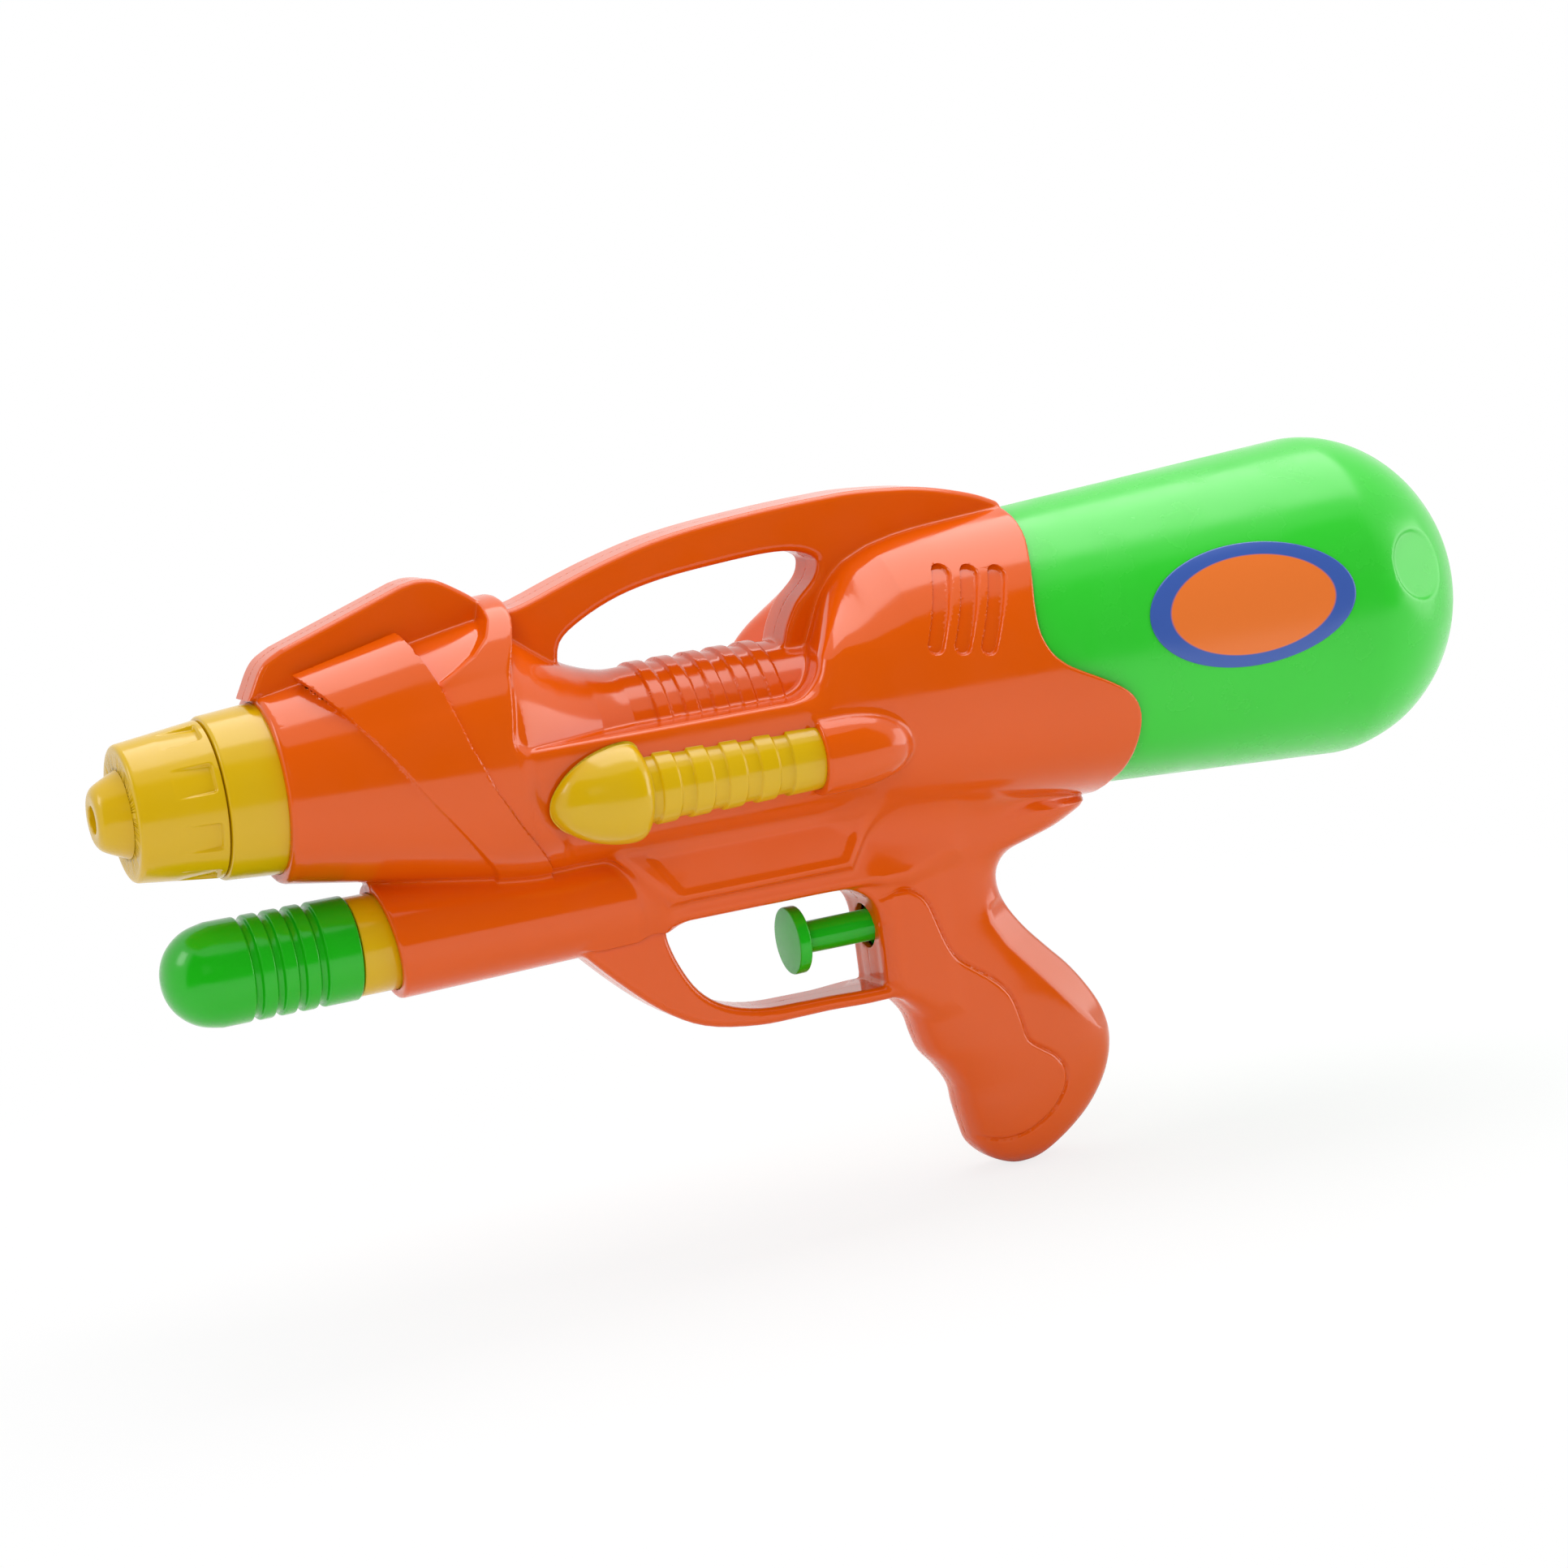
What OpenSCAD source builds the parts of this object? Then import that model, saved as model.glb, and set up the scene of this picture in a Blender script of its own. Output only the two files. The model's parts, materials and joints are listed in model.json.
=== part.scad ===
// Toy pump-action water squirter with a screw-on rear tank.
// Millimetres. X runs back from the jet hole, Z is up, the left side is -Y.
// The origin is the middle of the jet hole's mouth, on the barrel axis.

/* [Nozzle] */
// Length of the rounded tip in front of the cap
tip_len = 7.8; // [5:0.2:10]
// Radius of the tip at its front
tip_r = 8.6; // [7.6:0.1:9]
// Radius of the tip where it meets the cap
tip_base_r = 11.6; // [10.6:0.1:13]
// Radius of the jet hole's mouth
jet_r = 3.6; // [2.4:0.1:4.2]
// Depth of the jet hole's mouth
jet_depth = 5; // [4:0.5:6]
// Length of the turning cap
cap_len = 22.7; // [20.2:0.5:28]
// Radius of the cap at its front
cap_front_r = 17.8; // [17:0.1:18.5]
// Radius of the cap at its back
cap_rear_r = 20.5; // [19.6:0.1:21]
// Number of finger flutes around the cap
flute_count = 8; // [6:1:9]
// Width of a finger flute
flute_w = 7.6; // [5:0.2:9]
// Visible length of the fixed collar
collar_len = 14.5; // [13:0.5:20]
// Radius of the collar at its front
collar_front_r = 21.3; // [20.8:0.1:21.8]
// Radius of the collar where it enters the barrel
collar_rear_r = 22.4; // [22:0.1:22.8]

/* [Barrel and body] */
// Length of the barrel from its rim to the scoop
barrel_len = 58.5; // [52:0.5:66]
// Radius of the barrel at its rim
rim_r = 25.2; // [25:0.1:27]
// Radius of the body under the scoop
belly_r = 35.4; // [34.4:0.1:36]
// Height of the raised band above the barrel axis
band_r = 38.9; // [38:0.1:40]
// Length of the scooped middle, from the band to the rear housing
mid_len = 84; // [80:1:92]
// Radius of the ribbed bar across the scoop
bar_r = 12; // [11:0.2:13]
// Number of ribs on the bar
bar_ribs = 5; // [3:1:7]
// Height of the ledge beside the bar
shelf_z = 1.5; // [0.5:0.25:2]
// Thickness of the moulded walls
wall = 2; // [1.6:0.1:2.2]
// Height of the sight fin above the barrel axis
fin_top = 47; // [45:0.5:53]
// Width of the sight fin
fin_w = 14.5; // [14:0.5:18]

/* [Carry handle] */
// Height of the carry handle above the barrel axis
handle_top = 51.2; // [49:0.2:58]
// Width of the carry handle
handle_w = 17.5; // [15:0.5:19]
// Thickness of the arch over the hand hole
handle_t = 13; // [11.6:0.2:14]

/* [Pump] */
// Height of the pump axis below the barrel axis
pump_drop = 45; // [44:0.25:47]
// Length of the pump handle
pump_len = 50; // [46:0.5:54]
// Radius of the pump handle
pump_r = 13.8; // [13.2:0.1:14.4]
// Number of finger grooves on the pump handle
groove_count = 4; // [2:1:4]
// How far the pump handle draws out
pump_stroke = 58; // [45:1:60]
// Radius of the pump rod
rod_r = 4; // [3:0.1:4.4]
// Radius of the shroud at its mouth
shroud_r = 15.7; // [15.3:0.1:17]

/* [Tank] */
// Radius of the tank where it leaves the housing
tank_front_r = 38.6; // [38:0.1:39.2]
// Radius of the tank at its widest
tank_r = 45; // [44:0.1:48]
// Length of the tank's widening side
tank_len = 102; // [94:1:116]
// Length of the tank's domed end
dome_len = 41; // [38:1:48]
// Thickness of the tank's wall
tank_wall = 1.8; // [1.4:0.1:2.2]
// Number of dished spots around the dome
dish_count = 4; // [3:1:6]
// Radius of a dished spot
dish_r = 10; // [8:0.25:10.5]
// Length of the oval label
label_len = 61; // [50:1:70]
// Height of the oval label, measured straight across
label_h = 33; // [26:1:38]
// Lift of the tank for one turn on its thread
thread_pitch = 4; // [2.5:0.25:4]

/* [Trigger and grip] */
// Height of the trigger axis below the barrel axis
trigger_drop = 67; // [66:0.25:69]
// Radius of the trigger's finger disc
trigger_r = 9.3; // [8:0.1:10]
// Radius of the trigger's stem
stem_r = 4.4; // [4:0.1:4.8]
// How far the trigger presses in
trigger_travel = 9; // [6:0.5:9]
// Length of the grip below the guard
grip_len = 53; // [48:0.5:62]
// Half width of the grip
grip_half = 12.8; // [12.4:0.1:14]
// Width of the trigger guard
guard_w = 15.5; // [13:0.5:20]
// Length of the yellow side bolts
bolt_len = 76; // [72:0.5:78]
// Radius of a side bolt's head
bolt_r = 13.5; // [12.5:0.1:14]

/* [Hidden] */
$fn = 64;
// Clearances
run_gap = 0.08;
seat_gap = 0.05;
move_gap = 0.35;
// Stations along the gun
x_cap = tip_len;
x_collar = x_cap + cap_len;
x_rim = x_collar + collar_len;
x_band = x_rim + barrel_len;
x_ogive = x_band + mid_len;
x_wall = x_ogive + 28;
x_neck = x_wall + 6;
x_shoulder = x_neck + 16;
x_tank = x_shoulder + 12;
x_dome = x_tank + tank_len;
x_end = x_dome + dome_len;
x_lobe = x_tank + 28.5;
x_grip = x_ogive + 18.5;
x_block = x_band + 28;
// Levels
pump_z = -pump_drop;
trig_z = -trigger_drop;
bar_z = 3.5;
block_half = 17;
block_z = -54;
guard_z = trig_z - 20;
// Nozzle inside
plug_r = 8;
x_plug = x_cap + 7;
spigot_r = 11;
lip = 4;
duct_r = 5.5;
hose_r = 3;
hose_bore = 2;
barb_r = hose_bore - 0.02;
// Pump stations
x_pump = x_rim - 34;
x_pump_end = x_pump + pump_len;
x_gland = x_pump_end + 0.4;
x_mouth = x_gland + 8.2;
cyl_r = 11.5;
cyl_bore = 10;
x_cyl = x_gland + 5.1;
x_cyl_end = x_cyl + pump_stroke + 16.4;
x_core = x_block + 18;
x_piston = x_cyl_end - 16;
hose_y = 6.2;
low_z = block_z + wall + hose_r + 0.5;
air_z = max(pump_z, low_z);
gland_len = 25;
gland_r = 13.1;
// Trigger stations
x_disc = x_grip - 23.5;
x_flange = x_grip + wall + 0.2;
x_tail = x_flange + 5.6;
x_valve = x_tail + trigger_travel + 0.3;
valve_r = 7.5;
valve_bore = 4.5;
valve_end = 1.6;
valve_len = max(trigger_travel + 6.6 + valve_end, 15.6);
// Tank socket
socket_r = 17.8;
socket_rim = 20.5;
// Side bolts
bolt_z = -13.5;
bolt_y = belly_r - 4.4;
x_bolt = x_band + 6.5;
x_pod = x_bolt + bolt_len - 1.5;

orange = [0.87, 0.36, 0.12];
green = [0.2, 0.75, 0.2];
dark_green = [0.12, 0.55, 0.1];
yellow = [0.9, 0.75, 0.1];
white = [0.9, 0.9, 0.88];
rubber = [0.12, 0.12, 0.12];
clear = [0.75, 0.8, 0.82];
steel = [0.65, 0.66, 0.68];

// Catmull-Rom curve through points, n steps a span
function cr(a, b, c, d, t) = 0.5 * (2 * b + (c - a) * t + (2 * a - 5 * b + 4 * c - d) * t * t
    + (3 * b - a - 3 * c + d) * t * t * t);
function smooth(p, n) = [for (i = [0 : len(p) - 2]) for (k = [0 : n - 1])
    cr(p[max(i - 1, 0)], p[i], p[i + 1], p[min(i + 2, len(p) - 1)], k / n), p[len(p) - 1]];

// A profile of [station, radius] points turned about the gun's length
module turn(p) rotate([0, 90, 0]) rotate_extrude() polygon([for (q = p) [q[1], q[0]]]);

// A cylinder along the gun's length
module rod(x0, x1, r) translate([x0, 0, 0]) rotate([0, 90, 0]) cylinder(h = x1 - x0, r = r);

// An outline in the side view, made w wide about the middle
module side(p, w) rotate([90, 0, 0]) linear_extrude(w, center = true) polygon(p);

// A cylinder across the gun at a place in the side view, from y0 to y1
module across(x, z, r, y0, y1)
    translate([x, y1, z]) rotate([90, 0, 0]) cylinder(h = y1 - y0, r = r);

// Hose along a path in the side view, its corners rounded to one bend radius
function unit(v) = v / norm(v);
function turn_of(p, i) = let (a = unit(p[i] - p[i - 1]), b = unit(p[i + 1] - p[i]))
    atan2(a[0] * b[1] - a[1] * b[0], a * b);
function trim(p, i, bend) = i == 0 || i == len(p) - 1 ? 0 : bend * tan(abs(turn_of(p, i)) / 2);
module hose_run(p, r, bend) {
    n = len(p);
    for (i = [0 : n - 2]) {
        d = unit(p[i + 1] - p[i]);
        a = p[i] + d * trim(p, i, bend);
        b = p[i + 1] - d * trim(p, i + 1, bend);
        translate([a[0], 0, a[1]]) rotate([0, 90 - atan2(d[1], d[0]), 0])
            cylinder(h = norm(b - a), r = r, $fn = 32);
    }
    for (i = [1 : n - 2]) {
        d = unit(p[i] - p[i - 1]);
        t = turn_of(p, i);
        s = sign(t);
        c = p[i] - d * trim(p, i, bend) + bend * s * [-d[1], d[0]];
        from = atan2(-s * d[0], s * d[1]) + min(t, 0);
        translate([c[0], 0, c[1]]) rotate([90, 0, 0]) rotate([0, 0, from])
            rotate_extrude(angle = abs(t)) translate([bend, 0]) circle(r = r, $fn = 32);
    }
}
module hose(p, bend, r = hose_r, bore = hose_bore) difference() {
    hose_run(p, r, bend);
    hose_run(p, bore, bend);
}

// Body profiles
function belly_at(x) = x < x_band + 3
    ? rim_r + (belly_r - rim_r) * (x - x_rim - 1.6) / (barrel_len + 1.4)
    : belly_r;
function housing_at(x) = tank_front_r + (tank_r - tank_front_r) * (x - x_tank) / tank_len
    + wall + 0.6;
belly_path = [[x_rim, rim_r - 1.5], [x_rim + 0.5, rim_r - 0.5], [x_rim + 1.6, rim_r],
    [x_band + 3, belly_r], [x_ogive + 5, belly_r + 0.6], [x_ogive + 22, belly_r + 2.2],
    [x_ogive + 44, housing_at(x_ogive + 44)], [x_lobe + 6, housing_at(x_lobe + 6)]];
module belly(d) turn(concat([[x_rim - d, 0]], [for (q = belly_path) [q[0] + (q[0] < x_rim + 2 ? -d : 0),
    q[1] + d]], [[x_lobe + 6, 0]]));
ogive_path = [[x_ogive - 4, 10], [x_ogive, 14], [x_ogive + 4, 22], [x_ogive + 9, 28],
    [x_ogive + 14, 31.6], [x_ogive + 21, 35], [x_ogive + 29, 37.6],
    [x_ogive + 44, housing_at(x_ogive + 44) - 0.2], [x_lobe + 6, housing_at(x_lobe + 6) - 0.2]];

// The cut that leaves the scoop and its ledge
module scoop(d) side([[x_band + 10.2 - d, 70], [x_band + 10 - d, 38], [x_band + 9 - d, 34],
    [x_band + 6.7 - d, 29], [x_band + 3 - d, 20], [x_band + 0.8 - d, 10], [x_band - 0.5 - d, 4],
    [x_band - 0.5 - d, shelf_z - d], [x_lobe + 30, shelf_z - d], [x_lobe + 30, 70]], 120);

// Flared root and ribbed bar in the scoop
rib_pitch = (mid_len - 44) / bar_ribs;
rib_rise = 0.5;
module bar(d) translate([0, 0, bar_z]) turn(concat(
    [[x_band - 6 + d, 0], [x_band - 6 + d, 31 - d], [x_band + 3, 30.5 - d], [x_band + 9, 27 - d],
     [x_band + 15, 22.4 - d], [x_band + 21, 18.2 - d], [x_band + 28, 14.6 - d],
     [x_band + 36, bar_r - rib_rise - d]],
    d > 0 ? [] : [for (i = [0 : bar_ribs - 1]) for (q = [[0, rib_rise], [0, 0], [rib_pitch / 2, 0],
        [rib_pitch / 2, rib_rise]]) [x_band + 44 + rib_pitch * i + q[0], bar_r - q[1]]],
    [[x_ogive + 8, bar_r - rib_rise - d], [x_ogive + 8, 0]]));

// Rear edge of the housing in the side view
rear_edge = smooth([[x_tank + 8, 60], [x_tank + 8, 41], [x_tank + 7, 34], [x_tank + 4.7, 27.9],
    [x_tank + 2.5, 21.4], [x_tank + 0.9, 15], [x_tank + 0.7, 8.6], [x_tank + 2.8, 3.2],
    [x_tank + 6.1, -0.3], [x_tank + 10, -2.8], [x_tank + 19, -7.6],
    [x_tank + 25, -12], [x_tank + 28, -18], [x_tank + 28.4, -26], [x_tank + 27.2, -34],
    [x_tank + 25, -40], [x_tank + 23, -60]], 2);
module rear_cut() side(concat(rear_edge, [[x_lobe + 60, -60], [x_lobe + 60, 60]]), 120);

// Carry handle: an arch from the band to the rear housing
h0 = x_band + 4;
h1 = x_tank + 12;
hz = handle_top / 52.4;
handle_upper = smooth([[h0, 36], [h0 + 9, 36.6 * hz], [h0 + 24, 41.4 * hz], [h0 + 35, 44.8 * hz],
    [h0 + 49, 48.2 * hz], [h0 + 64, 50.3 * hz], [h0 + 84, 51.8 * hz], [h0 + 99, handle_top],
    [h1 - 45, handle_top], [h1 - 30, 51 * hz], [h1 - 20, 48.9 * hz], [h1 - 10, 45.7 * hz],
    [h1 - 2.5, 41.9 * hz], [h1, 39.6]], 2);
handle_hole = smooth([[x_band + 22.5, 17], [x_band + 24, 24.6], [x_band + 31,
    handle_top - handle_t - 8.6],
    [x_band + 42, handle_top - handle_t - 4.2], [x_band + 55, handle_top - handle_t - 1.6],
    [x_band + 71, handle_top - handle_t - 0.2], [x_ogive + 1, handle_top - handle_t + 0.4],
    [x_ogive + 9, handle_top - handle_t - 0.4], [x_ogive + 14, handle_top - handle_t - 2.6],
    [x_ogive + 14.7, 33], [x_ogive + 12.9, 29.4], [x_ogive + 7.3, 24.6], [x_ogive + 1.8, 19],
    [x_ogive - 2, 14]], 2);
module handle() side(concat(handle_upper, [[h1, 20], [x_ogive + 12, 4]],
    [for (i = [len(handle_hole) - 1 : -1 : 0]) handle_hole[i]], [[h0, 10]]), handle_w);
handle_core = smooth([[h0 + 30, 39.4 * hz], [h0 + 49, 44.6 * hz], [h0 + 84, 48.4 * hz],
    [h1 - 50, 49 * hz]], 3);
handle_core_low = smooth([[h1 - 50, handle_top - handle_t + 3], [h0 + 84, handle_top - handle_t + 3],
    [h0 + 49, handle_top - handle_t + 0.6], [h0 + 30, handle_top - handle_t - 4]], 3);

// Sight fin on top of the barrel
fz = fin_top / 48;
fin_line = smooth([[x_rim - 2.1, 23.4], [x_rim - 0.7, 26], [x_rim + 1.7, 31 * fz],
    [x_rim + 4.3, 33.8 * fz], [x_rim + 8.5, 36 * fz]], 2);
fin_tail = smooth([[x_band - 16, 47.4 * fz], [x_band - 11.5, fin_top], [x_band - 6.5, 47 * fz],
    [x_band - 0.6, 44.2 * fz], [x_band + 5, 40.2]], 2);
module fin() {
    side(concat(fin_line, fin_tail, [[x_band + 5, 20], [x_rim + 5.5, 20], [x_rim + 3.5, 23.6]]), fin_w);
}
module fin_dish() for (s = [-1, 1]) translate([0, s * (fin_w / 2 - 0.4), 0])
    side([[x_rim + 5.5, 28], [x_rim + 8.5, 33.4 * fz], [x_band - 15, 44.6 * fz], [x_band - 9, 45 * fz],
        [x_band - 3, 42 * fz], [x_band + 1, 39], [x_band - 14, 36], [x_rim + 14.5, 29.6]], 2);

// Raised diagonal strap on the barrel's sides
strap_front = smooth([[x_rim + 10.5, 30], [x_rim + 18, 19], [x_rim + 25.8, 7.2], [x_band - 24.7, -5.2],
    [x_band - 15.5, -17.2], [x_band - 4.2, -31.2]], 2);
strap_back = [[x_band + 10.4, -32], [x_band + 7, -27.7], [x_band - 0.6, -17.6], [x_band - 6.8, -7.4],
    [x_band - 12, 5.8], [x_band - 15.7, 21.5]];
module cheek() difference() {
    intersection() {
        belly(0.9);
        side(concat([[x_rim + 10.5, 40]], strap_front, [[x_band - 0.5, -40], [x_band + 15.5, -40]],
            strap_back, [[x_band - 20, 35], [x_band - 21.5, 40]]), 90);
    }
    translate([x_rim, -9, 0]) cube([barrel_len + 4, 18, 60]);
}

// Band that stands up in front of the scoop, flush at the sides, and laps under the strap
strap_lap = 0.8;
module band() intersection() {
    translate([0, 0, band_r - belly_at(x_band) - 0.35]) belly(0.35);
    side(concat([[x_band + 12, 48], [x_band + 3.9, 48], [x_band + 3.1, 38], [x_band + 2.1, 34.6],
        [x_band - 0.5, 30.8], [x_band - 5, 27], [x_band - 10.5, 24]],
        [for (i = [len(strap_back) - 1 : -1 : 2]) strap_back[i] - [strap_lap, 0]],
        [[x_band + 4.4, -24], [x_band + 12, -24]]), 90);
}

// Lower block with the panel, over the pump and the trigger guard
block_line = [[x_block, -24], [x_block, -33.5], [x_block + 14, -48], [x_block + 16, block_z],
    [x_grip + 10, block_z], [x_grip + 10, -24]];
module block() {
    side([[x_block, -20], [x_block, -33.5], [x_block + 14, -48], [x_grip - 8, -48], [x_grip + 2, -31],
        [x_grip + 2, -20]], 2 * block_half);
    side([[x_block + 6, -30], [x_block + 12, -45], [x_block + 17, block_z], [x_grip + 8, block_z],
        [x_grip + 8, -30]], 2 * block_half - 8);
}
module block_core() {
    side([[x_core, -24], [x_core, -46], [x_grip - 9, -46], [x_grip - 2, -34],
        [x_grip - 2, -24]], 2 * block_half - 2 * wall - 2);
    side([[x_core, -40], [x_core, block_z + wall], [x_grip + 6, block_z + wall],
        [x_grip + 6, -40]], 2 * block_half - 8 - 2 * wall);
}
module panel() for (s = [-1, 1]) translate([0, s * block_half, 0])
    side([[x_block + 9, -34], [x_block + 17, -45.4], [x_grip - 10.5, -45.4], [x_grip - 4.5, -34]], 2);

// Pump shroud
module shroud() translate([0, 0, pump_z]) turn([[x_mouth, 0], [x_mouth, shroud_r - 1],
    [x_mouth + 0.4, shroud_r - 0.3], [x_mouth + 1.4, shroud_r], [x_mouth + 6, shroud_r - 0.1],
    [x_cyl_end + 5.4, 14], [x_cyl_end + 5.4, 0]]);
module shroud_web() side([[x_mouth - 1, pump_z + 13], [x_mouth - 1, -24], [x_mouth + 12, -26],
    [x_mouth + 12, pump_z + 13]], 5);
module pump_bore() translate([0, 0, pump_z]) {
    rod(x_mouth - 5, x_gland + gland_len + 0.2, gland_r + 0.1);
    rod(x_mouth, x_cyl_end + 4.1, cyl_r + 0.1);
    translate([0, hose_y, air_z - pump_z]) rod(x_cyl_end + 4, max(x_core, x_cyl_end + 4) + 2, hose_r + 0.3);
}

// Trigger guard
guard_in = smooth([[x_band + 43.4, block_z + 1], [x_band + 42.6, -58], [x_band + 45, -66],
    [x_band + 49.6, -74], [x_band + 56.4, guard_z + 7.8], [x_band + 66.5, guard_z + 4.8],
    [x_band + 80, guard_z + 4.2], [x_grip + 2, guard_z + 4.2]], 2);
guard_out = smooth([[x_grip + 7, guard_z + 0.5], [x_band + 80, guard_z + 0.1], [x_band + 65,
    guard_z + 0.3],
    [x_band + 50, guard_z + 3.2], [x_band + 38.4, guard_z + 9.8], [x_band + 27, guard_z + 20],
    [x_band + 17, -56.4]], 2);
module guard() {
    side(concat(guard_in, guard_out, [[x_band + 17, -48], [x_band + 40, -48]]), guard_w);
    side(concat([[x_grip + wall - 0.4, block_z + wall - 0.4]], smooth([[x_grip - 9, block_z + 0.5],
        [x_grip - 4, block_z - 0.8], [x_grip - 1.2, block_z - 3], [x_grip + 0.2, block_z - 7]], 2),
        [[x_grip + wall - 0.4, block_z - 7]]), 23);
}

// Grip: rounded sections stacked down the handle
gs = grip_len / 53;
function gz(z) = z > -88 ? z : -88 + (z + 88) * gs;
grip_table = [[-34, 4, 52, 1.25], [-38, 2, 58, 1.24], [-43.5, 1.4, 68, 1.2], [-45, 1, 65.4, 1.18],
    [-48.5, 0.6, 58.6, 1.13], [-50.5, 0.6, 51.8, 1.09], [-53, 0.4, 43.2, 1.05], [-57, 0.4, 39.2, 1.01],
    [-62, 0.4, 38.4, 0.99], [-68, 0.4, 40.2, 0.98], [-75, 0.4, 44.8, 0.99], [-82, 1, 51, 1],
    [-88, 4.4, 56.6, 1.01],
    [-94, 8.2, 61, 1.03], [-100, 9.7, 64.5, 1.04], [-105, 11.5, 66.3, 1.04], [-110, 15.4, 66.9, 1.03],
    [-116, 18.8, 65.8, 1.01], [-122, 19.6, 63, 0.99], [-128, 20.8, 58.3, 0.95], [-133, 22.2, 52.5, 0.87],
    [-137, 25.8, 46.3, 0.74], [-139.5, 30, 42, 0.5], [-141, 34.5, 38, 0.2]];
grip_n = 28;
function sq(c, e) = sign(c) * pow(abs(c), e);
function ring(q, d) = let (a = (q[2] - q[1]) / 2 - d, m = x_grip + (q[1] + q[2]) / 2,
    b = q[3] * grip_half - d)
    [for (k = [0 : grip_n - 1]) let (t = 360 * (k + 0.5) / grip_n)
        [m + a * sq(cos(t), 0.72), b * sq(sin(t), 0.72), gz(q[0])]];
module stack(rows) {
    n = len(rows);
    m = len(rows[0]);
    polyhedron([for (r = rows) for (p = r) p], concat(
        [[for (k = [m - 1 : -1 : 0]) k]],
        [for (i = [0 : n - 2]) for (k = [0 : m - 1]) for (f = [0, 1])
            let (a = i * m + k, b = i * m + (k + 1) % m) f == 0 ? [a, b, a + m] : [b, b + m, a + m]],
        [[for (k = [0 : m - 1]) (n - 1) * m + k]]));
}
module grip() stack([for (q = grip_table) ring(q, 0)]);
module grip_front() side([[x_grip, block_z + 2], [x_grip, guard_z + 5], [x_grip + 3.4, guard_z + 0.6],
    [x_grip + 13, guard_z - 6], [x_grip + 13, block_z + 2]], 2 * grip_half - 1.4);
module hose_channel() translate([x_grip, -9.6, block_z + wall])
    cube([x_valve + 14 - x_grip, 19.2, -45.2 - block_z - wall]);
module trigger_pocket() translate([x_grip + wall, -9, trig_z - 9]) cube([14, 18, 18]);
module grip_core() stack([for (q = grip_table) if (q[0] < -44 && q[0] > -134)
    ring(q[0] > -52 ? [q[0], q[1], min(q[2], 42), q[3]] : q, wall)]);

// Pods behind the side bolts
module pod(s) translate([0, s * bolt_y, bolt_z]) turn([[x_pod, 0], [x_pod, 10.4], [x_pod + 0.6, 11],
    [x_pod + 7, 10.9], [x_pod + 14, 9.8], [x_pod + 21, 6.8], [x_pod + 25, 4], [x_pod + 27.5, 1.6],
        [x_pod + 28, 0]]);

// Vent slots on the rear housing
module vents() for (s = [-1, 1]) for (i = [0 : 2]) difference() {
    translate([x_tank - 24.7 + 7.2 * i, s * 36, 18.8 - 1.2 * i]) rotate([0, 24.7, 0])
        rotate([90, 0, 0]) linear_extrude(30, center = true) {
            square([4.3, 19.6], center = true);
            for (e = [-1, 1]) translate([0, 9.8 * e]) circle(d = 4.3);
        }
    turn([[x_tank - 50, 0], [x_tank - 50, 34], [x_tank - 22, housing_at(x_tank - 22) - 1.3],
        [x_tank + 10, housing_at(x_tank + 10) - 1.3], [x_tank + 10, 0]]);
}

// Screw places: station, height
screw_spots = [[x_band - 12, 38.5], [x_rim + 32.5, -20.5], [x_band + 14, 30], [x_tank - 12, 45.5],
    [x_band + 34, -64], [x_tank + 4, -47], [x_grip + 44, -114]];

// Shell pieces inside: screw posts, bulkhead and cradles
module inner_ribs() {
    intersection() {
        difference() {
            turn([[x_wall - 2.4, socket_r - 0.5], [x_wall - 2.4, 42], [x_wall + 6.4, 42],
                [x_wall + 6.4, socket_r - 0.5]]);
            turn([[x_wall - 0.1, socket_r - 0.8], [x_wall - 0.1, socket_rim + 0.2],
                [x_wall + 4.1, socket_rim + 0.2], [x_wall + 4.1, socket_r - 0.8]]);
            rod(x_wall + 3, x_wall + 7, socket_r + 0.4);
        }
        turn([[x_wall - 10, 0], [x_wall - 10, 35.4], [x_wall + 10, 39], [x_wall + 10, 0]]);
    }
    across(x_rim + 32.5, -20.5, 4.6, -18, 18);
    across(x_grip + 44, -114, 4.6, -11.4, 11.4);
    difference() {
        translate([x_valve + 8, -grip_half + 1.2, trig_z - 10]) cube([2.4, 2 * grip_half - 2.4, 9.6]);
        translate([0, 0, trig_z]) rod(x_valve, x_valve + 20, valve_r + 0.1);
    }
    difference() {
        intersection() {
            translate([x_rim + 24.5, -40, -6]) cube([2.4, 80, 12]);
            belly(-0.8);
        }
        rod(x_rim, x_rim + 60, duct_r + 0.1);
    }
}

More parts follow.
